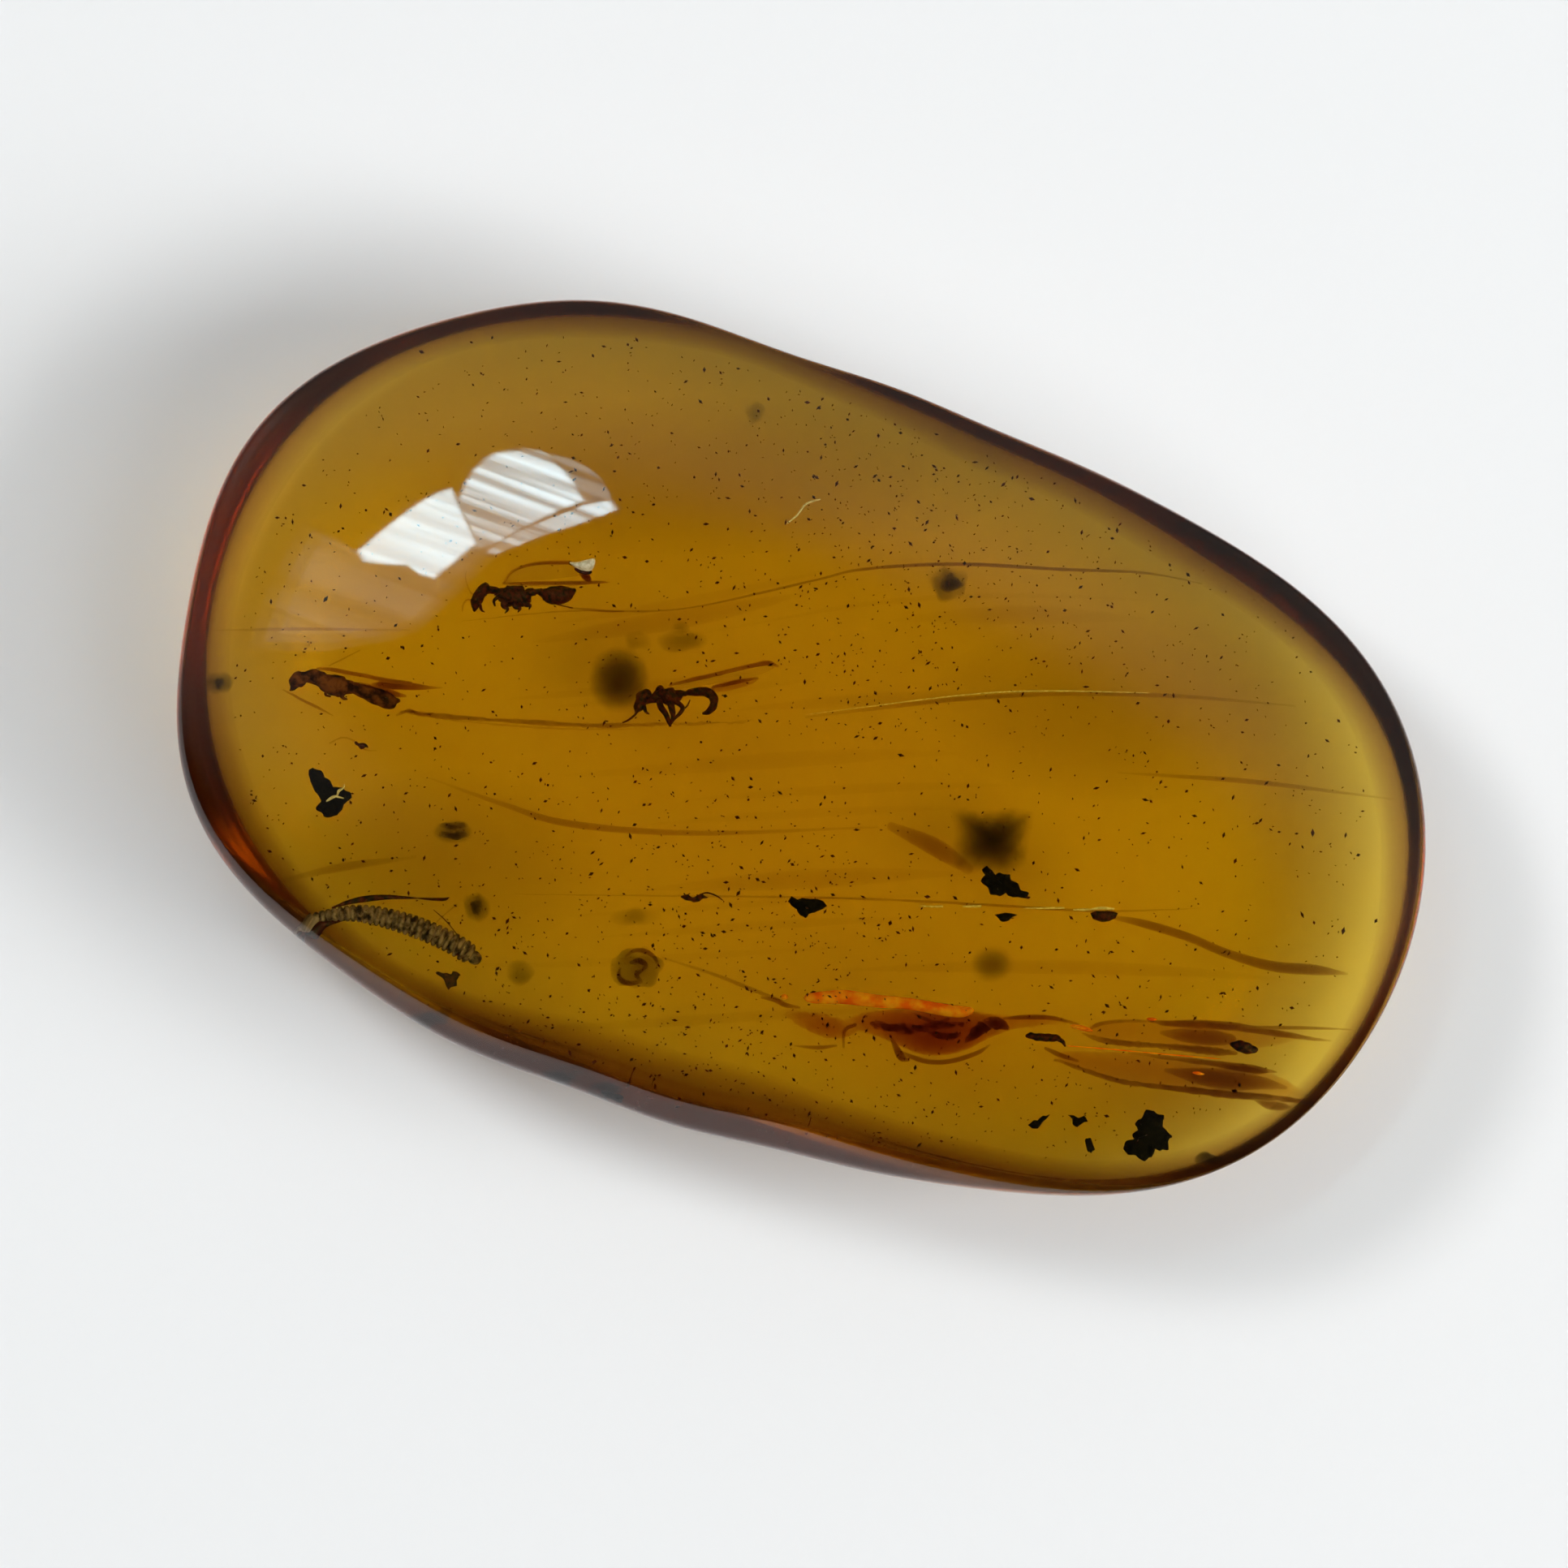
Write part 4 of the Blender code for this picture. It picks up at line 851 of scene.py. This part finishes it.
new_piece("dark_resin_seams", IN_LAYERS, [
    strand(12, [(-7.2, 3.1, 3.9, .01), (-4.97, 3.29, 3.9, .02), (-2.49, 3.32, 3.9, .025),
        (.35, 3.91, 3.9, .03), (1.43, 4.15, 3.9, .035), (3.45, 4.26, 3.9, .045), (5.7, 4.15, 3.8, .04),
        (7.52, 4.07, 3.6, .03), (8.74, 3.85, 3.5, .015)], 10, flatness=4, uneven=.008),
    strand(12, [(-8.51, 1.2, 3.4, .02), (-7.8, 1.1, 3.4, .05), (-6.8, 1.02, 3.4, .05), (-5.5, .93, 3.4, .05),
        (-4.2, .86, 3.4, .05), (-3, .88, 3.4, .035), (-1.42, .9, 3.4, .025), (-.9, .94, 3.4, .01)], 14,
        flatness=3, uneven=.02),
    strand(16, [(6.63, -3.23, 3, .02), (7.4, -3.38, 3, .09), (8.4, -3.68, 3, .1), (9.3, -4.05, 3, .1),
        (10.27, -4.33, 3, .12), (11.2, -4.42, 3, .12), (11.9, -4.51, 3, .03)], 10, flatness=1.6),
    strand(12, [(-2.82, -4.06, 3.3, .02), (-1.76, -4.4, 3.3, .04), (-.95, -4.72, 3.3, .05),
        (-.31, -4.97, 3.3, .03)], 8, flatness=2),
    strand(12, [(-6.03, -2.7, 3.4, .01), (-3.02, -2.74, 3.4, .02), (.5, -2.8, 3.4, .03),
        (2.47, -2.88, 3.4, .03), (4.4, -3, 3.4, .035), (6.63, -3.14, 3.4, .03), (8.76, -3.09, 3.4, .01)], 10,
        flatness=3, uneven=.008),
    strand(10, [(-7.6, 1.02, 3.2, .01), (-6.4, .9, 3.2, .02), (-5, .8, 3.2, .02), (-3.4, .78, 3.2, .01)], 12,
        flatness=3, uneven=.015),
], seam_skin)
new_piece("faint_resin_seams", IN_LAYERS, [
    strand(12, [(-7.85, -.22, 3, .02), (-6.2, -.8, 3, .06), (-4.79, -1.2, 3, .08), (-2.13, -1.41, 3, .06),
        (1.76, -1.32, 3, .02)], 10, flatness=4),
    strand(12, [(.2, 1, 3.4, .02), (2.03, 1.21, 3.4, .05), (3.66, 1.37, 3.4, .05), (5.7, 1.46, 3.4, .05),
        (8.23, 1.41, 3.4, .05), (10.78, 1.21, 3.4, .02)], 10, flatness=4),
    strand(12, [(6.9, -.22, 3, .02), (8.5, -.32, 3, .05), (10.09, -.45, 3, .06), (12.9, -.8, 3, .02)], 10,
        flatness=4),
    strand(12, [(-12.5, 2.93, 3.6, .02), (-10.63, 2.95, 3.6, .04), (-8.33, 2.91, 3.6, .02)], 10, flatness=4),
    strand(12, [(-11.1, -2.42, 3.2, .03), (-9.75, -2.12, 3.2, .1), (-8.16, -1.9, 3.2, .03)], 10, flatness=2),
    strand(12, [(2.05, -1.3, 2.2, .1), (2.99, -1.74, 2.2, .2), (3.7, -2.2, 2.2, .12)], 10, flatness=2),
], thin_skin)


def flow_lines(count, seed):
    """Broad faint sheets at random heights y. Above the middle each steps up by a tanh near x = 0,
    and below it each runs down from the left as an exponential, as the resin flowed. Each ends
    within 88 % of the way to the widest line."""
    draw = np.random.default_rng(seed)
    sheets = []
    for _ in range(count):
        y = draw.uniform(-5.5, 6.5)
        middle, half = draw.uniform(-4, 6), draw.uniform(2.5, 5.5)
        x = np.linspace(middle - half, middle + half, 11)
        high = np.clip((y - 1) / 3, 0, 1)
        path = y + 0.4 * high * np.tanh(x / 2.5) - 0.008 * (x - 4) ** 2
        path += (1 - high) * 0.9 * np.exp(-(x + 8) / 2.5)
        width, z, tall = draw.uniform(.05, .22), draw.uniform(2.2, 3.6), draw.uniform(.8, 2)
        inside = np.hypot(x, path) < 0.88 * around(WIDEST, np.arctan2(path, x) + LAYER_ANGLE)
        if inside.sum() < 5:
            continue
        x, path = x[inside], path[inside]
        wide = width * np.sin(np.linspace(.1, math.pi - .1, len(x)))
        sheets.append(strand(12, list(zip(x, path, np.full(len(x), z), wide)), 6, flatness=tall))
    return sheets


flow_skin = soaked("flow_skin", 0.26, 0.36, 0.6)
new_piece("faint_flow_lines", IN_LAYERS, flow_lines(16, 40), flow_skin)


# The resin is a little darker in three broad soft patches, at the top, the left and the right.
darker_resin = soaked("darker_resin_patches", 0.10, 0.11, 0.12)
new_piece("darker_resin_patches", IN_LAYERS, [
    ball((7, 4, 2.4), (-7.6, -2, 2.9), 51, .02),
    ball((14, 3.4, 2.2), (-2.2, 6.1, 2.8), 52, .02),
    ball((8.4, 4, 2), (7, 1.2, 2.8), 53, .02),
], darker_resin)


def grains(places, sizes, seed):
    """Eight-faced grains, one at each place, longer than they are wide and turned at random."""
    draw = np.random.default_rng(seed)
    skins = []
    for place, size in zip(places, sizes):
        a, lean = draw.uniform(0, math.pi), draw.uniform(-.5, .5)
        ahead = np.array([math.cos(a) * math.cos(lean), math.sin(a) * math.cos(lean), math.sin(lean)])
        side = np.array([-math.sin(a), math.cos(a), 0.0])
        lift = np.cross(ahead, side)
        square = np.stack([side, lift, -side, -lift]) * size * draw.uniform(.3, .5)
        long = size * draw.uniform(.6, 1.1)
        skins.append(skin(np.asarray(place) + np.stack([
            np.tile(-ahead * long, (4, 1)), square, np.tile(ahead * long, (4, 1))])))
    return skins


def specks(count, seed):
    """Random places in the stone: an even spread over its outline at 5 to 90 % of its reach, and in
    the upper part of its thickness there."""
    draw = np.random.default_rng(seed)
    angle = draw.uniform(0, 2 * math.pi, count)
    reach = around(WIDEST, angle) * np.sqrt(draw.uniform(.003, .80, count))
    x, y = reach * np.cos(angle), reach * np.sin(angle)
    top = THICKNESS - x ** 2 / 2 / DOME_RADIUS_LONG - y ** 2 / 2 / DOME_RADIUS_ACROSS
    z = 1.4 + (top - 1.9) * draw.uniform(.1, 1.0, count)
    c, s = math.cos(LAYER_ANGLE), math.sin(LAYER_ANGLE)
    sizes = 0.032 + 0.05 * draw.uniform(0, 1, count) ** 4
    return np.stack([x * c + y * s, y * c - x * s, z], -1), sizes


places, sizes = specks(3200, 41)
new_piece("dust_specks", IN_LAYERS, grains(places, sizes, 42), chitin)
NAMED_SPECKS = [
    (10.94, -3.25, 3.6, .10), (11.2, -3.42, 3.6, .07), (11.84, -3.6, 3.6, .09), (11.6, -3.5, 3.6, .05),
    (12.55, -3.39, 3.5, .08), (11.17, -1.5, 3.8, .10), (6.25, 1.64, 4.2, .09), (-1.78, 4.42, 4.4, .07),
    (-2.52, 3.11, 4.3, .08), (-6.19, -3.29, 3.6, .10), (2.05, -3.36, 3.8, .11), (5.66, -2.91, 3.9, .07),
    (-10.16, 3.59, 4.0, .12), (-2.49, -3.2, 3.8, .07), (-1.2, 1.86, 4.2, .05), (-8.13, 8.9, 3.6, .12),
    (-8.0, -1.95, 3.8, .07), (-5.2, 3.4, 4.2, .05), (8.9, -5.0, 3.6, .04), (-7.05, 9.1, 3.6, .06),
    (-6.6, 9.2, 3.6, .05), (-8.2, 7.95, 4.2, .05), (-4.0, 6.9, 4.4, .04), (9.0, -1.0, 3.8, .04),
]
new_piece("larger_specks", IN_LAYERS, grains(
    [row[:3] for row in NAMED_SPECKS], [row[3] for row in NAMED_SPECKS], 43), chitin)
# A midge's remains and hairs.
new_piece("midge_and_hairs", IN_LAYERS, [
    strand(8, [(-2.42, -2.78, 3.9, .03), (-2.3, -2.8, 3.9, .055), (-2.14, -2.84, 3.9, .065),
        (-2.02, -2.78, 3.9, .05), (-1.9, -2.8, 3.9, .02)], uneven=.02),
    strand(8, [(-2.1, -2.76, 3.9, .01), (-1.9, -2.7, 3.9, .018), (-1.7, -2.76, 3.9, .018),
        (-1.55, -2.86, 3.9, .01)]),
    strand(8, [(-9.5, .5, 4.2, .03), (-9.36, .44, 4.2, .06), (-9.24, .42, 4.2, .02)], uneven=.02),
], chitin)
new_piece("soaked_hairs", IN_LAYERS, [
    strand(8, [(-10.07, .5, 4.2, .02), (-9.8, .62, 4.2, .022), (-9.55, .55, 4.2, .022), (-9.3, .36, 4.2, .02),
        (-9.05, .34, 4.2, .012)]),
    strand(8, [(-8.6, 1.1, 4, .02), (-8.36, 1.2, 4, .04), (-8.1, 1.12, 4, .04), (-7.8, 1.14, 4, .02)],
        uneven=.02),
    strand(8, [(-8, -3.6, 3.9, .01), (-7.6, -3.2, 3.9, .02), (-7.3, -2.95, 3.9, .02)]),
], vein)
new_piece("pale_hair", IN_LAYERS, [
    strand(8, [(-.2, 5.18, 4.6, .016), (.02, 5.36, 4.6, .022), (.18, 5.58, 4.6, .022), (.36, 5.66, 4.6, .02),
        (.51, 5.7, 4.6, .012)]),
], white_air)
# Air along the long seam, and a bubble at its end.
new_piece("seam_air", IN_LAYERS, [
    strand(8, [(2.7, -3, 3.9, .014), (2.9, -3.02, 3.9, .02), (3.16, -3.02, 3.9, .026)]),
    strand(8, [(3.62, -3.02, 3.9, .02), (3.8, -3.02, 3.9, .03), (3.98, -3.02, 3.9, .03)]),
    strand(8, [(4.92, -3.07, 3.9, .012), (5.4, -3.07, 3.9, .022), (5.78, -3.07, 3.9, .02)]),
    strand(8, [(6, -3.11, 3.9, .018), (6.2, -3.11, 3.9, .03), (6.37, -3.11, 3.9, .02)]),
    strand(8, [(6.4, -3.1, 4.02, .02), (6.6, -3.08, 4.04, .035), (6.86, -3.1, 4.02, .02)]),
    strand(6, [(.2, 1.06, 3.9, .008), (3.6, 1.46, 3.9, .014), (5.4, 1.54, 3.9, .014), (7.6, 1.5, 3.9, .008)],
        10),
], white_air)
new_piece("air_bubble_shadow", IN_LAYERS, [
    chunk([(-.3, .02), (-.2, .06), (.2, .06), (.3, .02), (.24, -.1), (.1, -.16), (-.1, -.16), (-.24, -.1)],
        .2, (6.66, -3.2, 3.9), .01),
], chitin)


# ---------------------------------------------------------------- the studio
# A pale paper floor, a window that is reflected at the upper left, and soft lamps round the stone.

CAMERA_HEIGHT = 350.0
DAYLIGHT = (0.62, 0.88, 1.0, 1.0)
SOFT_EDGE = (1.0, 0.6, 0.25)  # how bright a card is, and the two behind it


def seen_in_the_dome(outline, height):
    """Where a card at this height must lie to be reflected at an outline on the stone's face. The
    camera is CAMERA_HEIGHT up, so the ray leaves at twice the slope plus its own lean."""
    x, y = np.moveaxis(np.array(outline, float), -1, 0)
    c, s = math.cos(LAYER_ANGLE), math.sin(LAYER_ANGLE)
    x, y = x * c - y * s, x * s + y * c
    return np.stack([
        x * (1 + height * (2 / DOME_RADIUS_LONG + 1 / CAMERA_HEIGHT)),
        y * (1 + height * (2 / DOME_RADIUS_ACROSS + 1 / CAMERA_HEIGHT)),
        0 * x + height,
    ], -1) * MM


def card(name, outline, height, low, high, rim=0.04):
    """A glowing card that the dome reflects, with two fainter and larger ones just behind it, which
    soften its edge. Its glow runs from low to high in fine streaks."""
    outline = np.array(outline, float)
    middle = outline.mean(axis=0)
    for layer, share in enumerate(SOFT_EDGE):
        mesh = bpy.data.meshes.new(name)
        spread = middle + (outline - middle) * (1 + rim * layer)
        corners = seen_in_the_dome(spread, height + 2 * layer)
        mesh.from_pydata(corners.tolist(), [], [tuple(range(len(corners)))])
        material = bpy.data.materials.new(name)
        material.use_nodes = True
        tree = material.node_tree
        where = add(tree, "ShaderNodeTexCoord")
        turned = add(tree, "ShaderNodeMapping", {
            "Vector": where.outputs["Object"], "Rotation": (0, 0, math.radians(-62)),
            "Scale": (4.0, 70.0, 1.0)})
        streaks = add(tree, "ShaderNodeTexNoise", {
            "Vector": turned.outputs["Vector"], "Scale": 1.0, "Detail": 4.0})
        glow = add(tree, "ShaderNodeMapRange", {
            "Value": streaks.outputs["Fac"], "From Min": 0.40, "From Max": 0.60,
            "To Min": low * share, "To Max": high * share})
        light = add(tree, "ShaderNodeEmission", {"Color": DAYLIGHT, "Strength": glow.outputs["Result"]})
        tree.links.new(light.outputs["Emission"], tree.nodes["Material Output"].inputs["Surface"])
        mesh.materials.append(material)
        made = bpy.data.objects.new(name, mesh)
        bpy.context.scene.collection.objects.link(made)
        made.visible_camera = False


card("window_left", [
    (-9.64, 4.76), (-9.11, 5.22), (-8.54, 5.68), (-8.23, 5.89), (-7.98, 6.03), (-7.69, 6.12),
    (-7.55, 5.85), (-7.3, 5.36), (-7.06, 4.9), (-7.55, 4.47), (-7.94, 4.15), (-8.26, 4.24),
    (-8.54, 4.44), (-9.04, 4.47), (-9.5, 4.54),
], 500.0, 15.0, 26.0)
card("window_right", [
    (-7.48, 5.75), (-7.34, 6.24), (-7.16, 6.6), (-6.95, 6.85), (-6.7, 6.99), (-6.14, 7.09),
    (-5.75, 7.02), (-5.46, 6.85), (-5.14, 6.49), (-4.93, 6.21), (-4.75, 5.89), (-5.32, 5.64),
    (-5.85, 5.36), (-6.28, 5.11), (-6.67, 4.86), (-6.95, 4.86), (-7.2, 5.25),
], 510.0, 4.0, 22.0)
card("window_streak", [
    (-6.74, 4.69), (-6.56, 4.86), (-6.03, 5.18), (-5.5, 5.41), (-4.72, 5.75), (-4.15, 5.87),
    (-4.03, 5.64), (-4.72, 5.36), (-5.71, 5), (-6.53, 4.65),
], 500.0, 3.0, 18.0)
card("window_fade", [
    (-5.46, 6.99), (-5.04, 6.88), (-4.65, 6.67), (-4.33, 6.39), (-4.15, 6.07), (-4.13, 5.85),
    (-4.75, 5.85), (-4.93, 6.21), (-5.14, 6.49),
], 520.0, 1.0, 4.0)
card("window_frame", [
    (-11.52, 2.95), (-11.13, 3.94), (-10.53, 5.09), (-9.93, 4.86), (-9.5, 4.54), (-8.54, 4.44),
    (-7.94, 4.15), (-7.06, 4.86), (-6.74, 4.79), (-7.34, 4.26), (-7.98, 3.62), (-8.44, 3.2),
    (-8.9, 3.06), (-10.1, 2.9),
], 530.0, 0.7, 1.5, rim=0.16)


LAMP_DISTANCE = 0.6


def lamp(name, azimuth, elevation, size, power):
    """A soft square lamp that faces the stone, LAMP_DISTANCE metres off. Azimuth is in degrees from
    the layers' x. It lights the stone but can't be seen mirrored in its face."""
    light = bpy.data.lights.new(name, "AREA")
    light.size = size
    light.energy = power
    made = bpy.data.objects.new(name, light)
    bpy.context.scene.collection.objects.link(made)
    turn, rise = math.radians(azimuth) + LAYER_ANGLE, math.radians(elevation)
    made.location = (
        LAMP_DISTANCE * math.cos(rise) * math.cos(turn),
        LAMP_DISTANCE * math.cos(rise) * math.sin(turn),
        LAMP_DISTANCE * math.sin(rise),
    )
    made.rotation_euler = made.location.to_track_quat("Z", "Y").to_euler()
    made.visible_glossy = False


lamp("right_lamp", -12, 33, 0.3, 2.9)
lamp("lower_right_lamp", -40, 55, 0.3, 0.85)
lamp("window_lamp", 140, 52, 0.14, 1.15)
lamp("overhead_lamp", 135, 80, 0.3, 0.25)

floor_mesh = bpy.data.meshes.new("paper_floor")
FLOOR_HALF, FLOOR_TOP = 1.5, -0.00002  # just clear of the stone's back
floor_mesh.from_pydata(
    [(x * FLOOR_HALF, y * FLOOR_HALF, FLOOR_TOP) for x, y in ((-1, -1), (1, -1), (1, 1), (-1, 1))],
    [], [(0, 1, 2, 3)])
paper, tree, shader = new_material("white_paper", {
    "Base Color": (0.80, 0.80, 0.80, 1.0), "Roughness": 1.0, "Specular IOR Level": 0.0})
floor_mesh.materials.append(paper)
floor = bpy.data.objects.new("paper_floor", floor_mesh)
bpy.context.scene.collection.objects.link(floor)

# The room: dark straight overhead and on the lower side, where somebody leans over the stone, and
# paler towards its other walls. The glow is the product of two smooth steps of the direction.
world = bpy.data.worlds.new("room")
bpy.context.scene.world = world
world.use_nodes = True
tree = world.node_tree
UPPER_WALL = (-math.sin(LAYER_ANGLE), math.cos(LAYER_ANGLE), 0.0)
way = add(tree, "ShaderNodeTexCoord")
parts = add(tree, "ShaderNodeSeparateXYZ", {"Vector": way.outputs["Generated"]})
leaning = add(tree, "ShaderNodeMapRange", {
    "Value": parts.outputs["Z"], "From Min": 0.952, "From Max": 0.895, "To Min": 0.0, "To Max": 1.0},
    interpolation_type="SMOOTHSTEP")
upwards = add(tree, "ShaderNodeVectorMath", {0: way.outputs["Generated"], 1: UPPER_WALL},
              operation="DOT_PRODUCT")
not_below = add(tree, "ShaderNodeMapRange", {
    "Value": upwards.outputs["Value"], "From Min": -0.30, "From Max": 0.0, "To Min": 0.0, "To Max": 0.31},
    interpolation_type="SMOOTHSTEP")
glow = add(tree, "ShaderNodeMath", {0: leaning.outputs["Result"], 1: not_below.outputs["Result"]},
           operation="MULTIPLY")
lit = add(tree, "ShaderNodeMath", {0: glow.outputs["Value"], 1: 0.012}, operation="ADD")
background = tree.nodes["Background"]
tree.links.new(lit.outputs["Value"], background.inputs["Strength"])
background.inputs["Color"].default_value = (1.0, 1.0, 1.0, 1.0)

# Straight above the stone, turned so that the layers run level in its view. A pixel is PIXEL
# millimetres wide at the height of the widest line.
PIXELS, PIXEL = 1932, 0.0177125
MIDDLE_PIXEL = (980.41, 942.53)
SEEN_HEIGHT = 3.6
SENSOR = 36.0
camera = bpy.data.cameras.new("camera")
camera.sensor_width = SENSOR
camera.lens = SENSOR * CAMERA_HEIGHT / (PIXELS * PIXEL)
camera.clip_start = 0.01
viewer = bpy.data.objects.new("camera", camera)
bpy.context.scene.collection.objects.link(viewer)
right, up = (PIXELS / 2 - MIDDLE_PIXEL[0]) * PIXEL, (MIDDLE_PIXEL[1] - PIXELS / 2) * PIXEL
viewer.location = (
    (right * math.cos(LAYER_ANGLE) - up * math.sin(LAYER_ANGLE) - STONE_MIDDLE[0]) * MM,
    (right * math.sin(LAYER_ANGLE) + up * math.cos(LAYER_ANGLE) - STONE_MIDDLE[1]) * MM,
    (CAMERA_HEIGHT + SEEN_HEIGHT) * MM,
)
viewer.rotation_euler = (0.0, 0.0, LAYER_ANGLE)
bpy.context.scene.camera = viewer

bpy.context.scene.view_settings.view_transform = "Standard"
bpy.context.scene.cycles.max_bounces = 12
bpy.context.scene.cycles.transmission_bounces = 12
bpy.context.scene.cycles.glossy_bounces = 4
bpy.context.scene.cycles.diffuse_bounces = 2
bpy.context.scene.cycles.transparent_max_bounces = 12
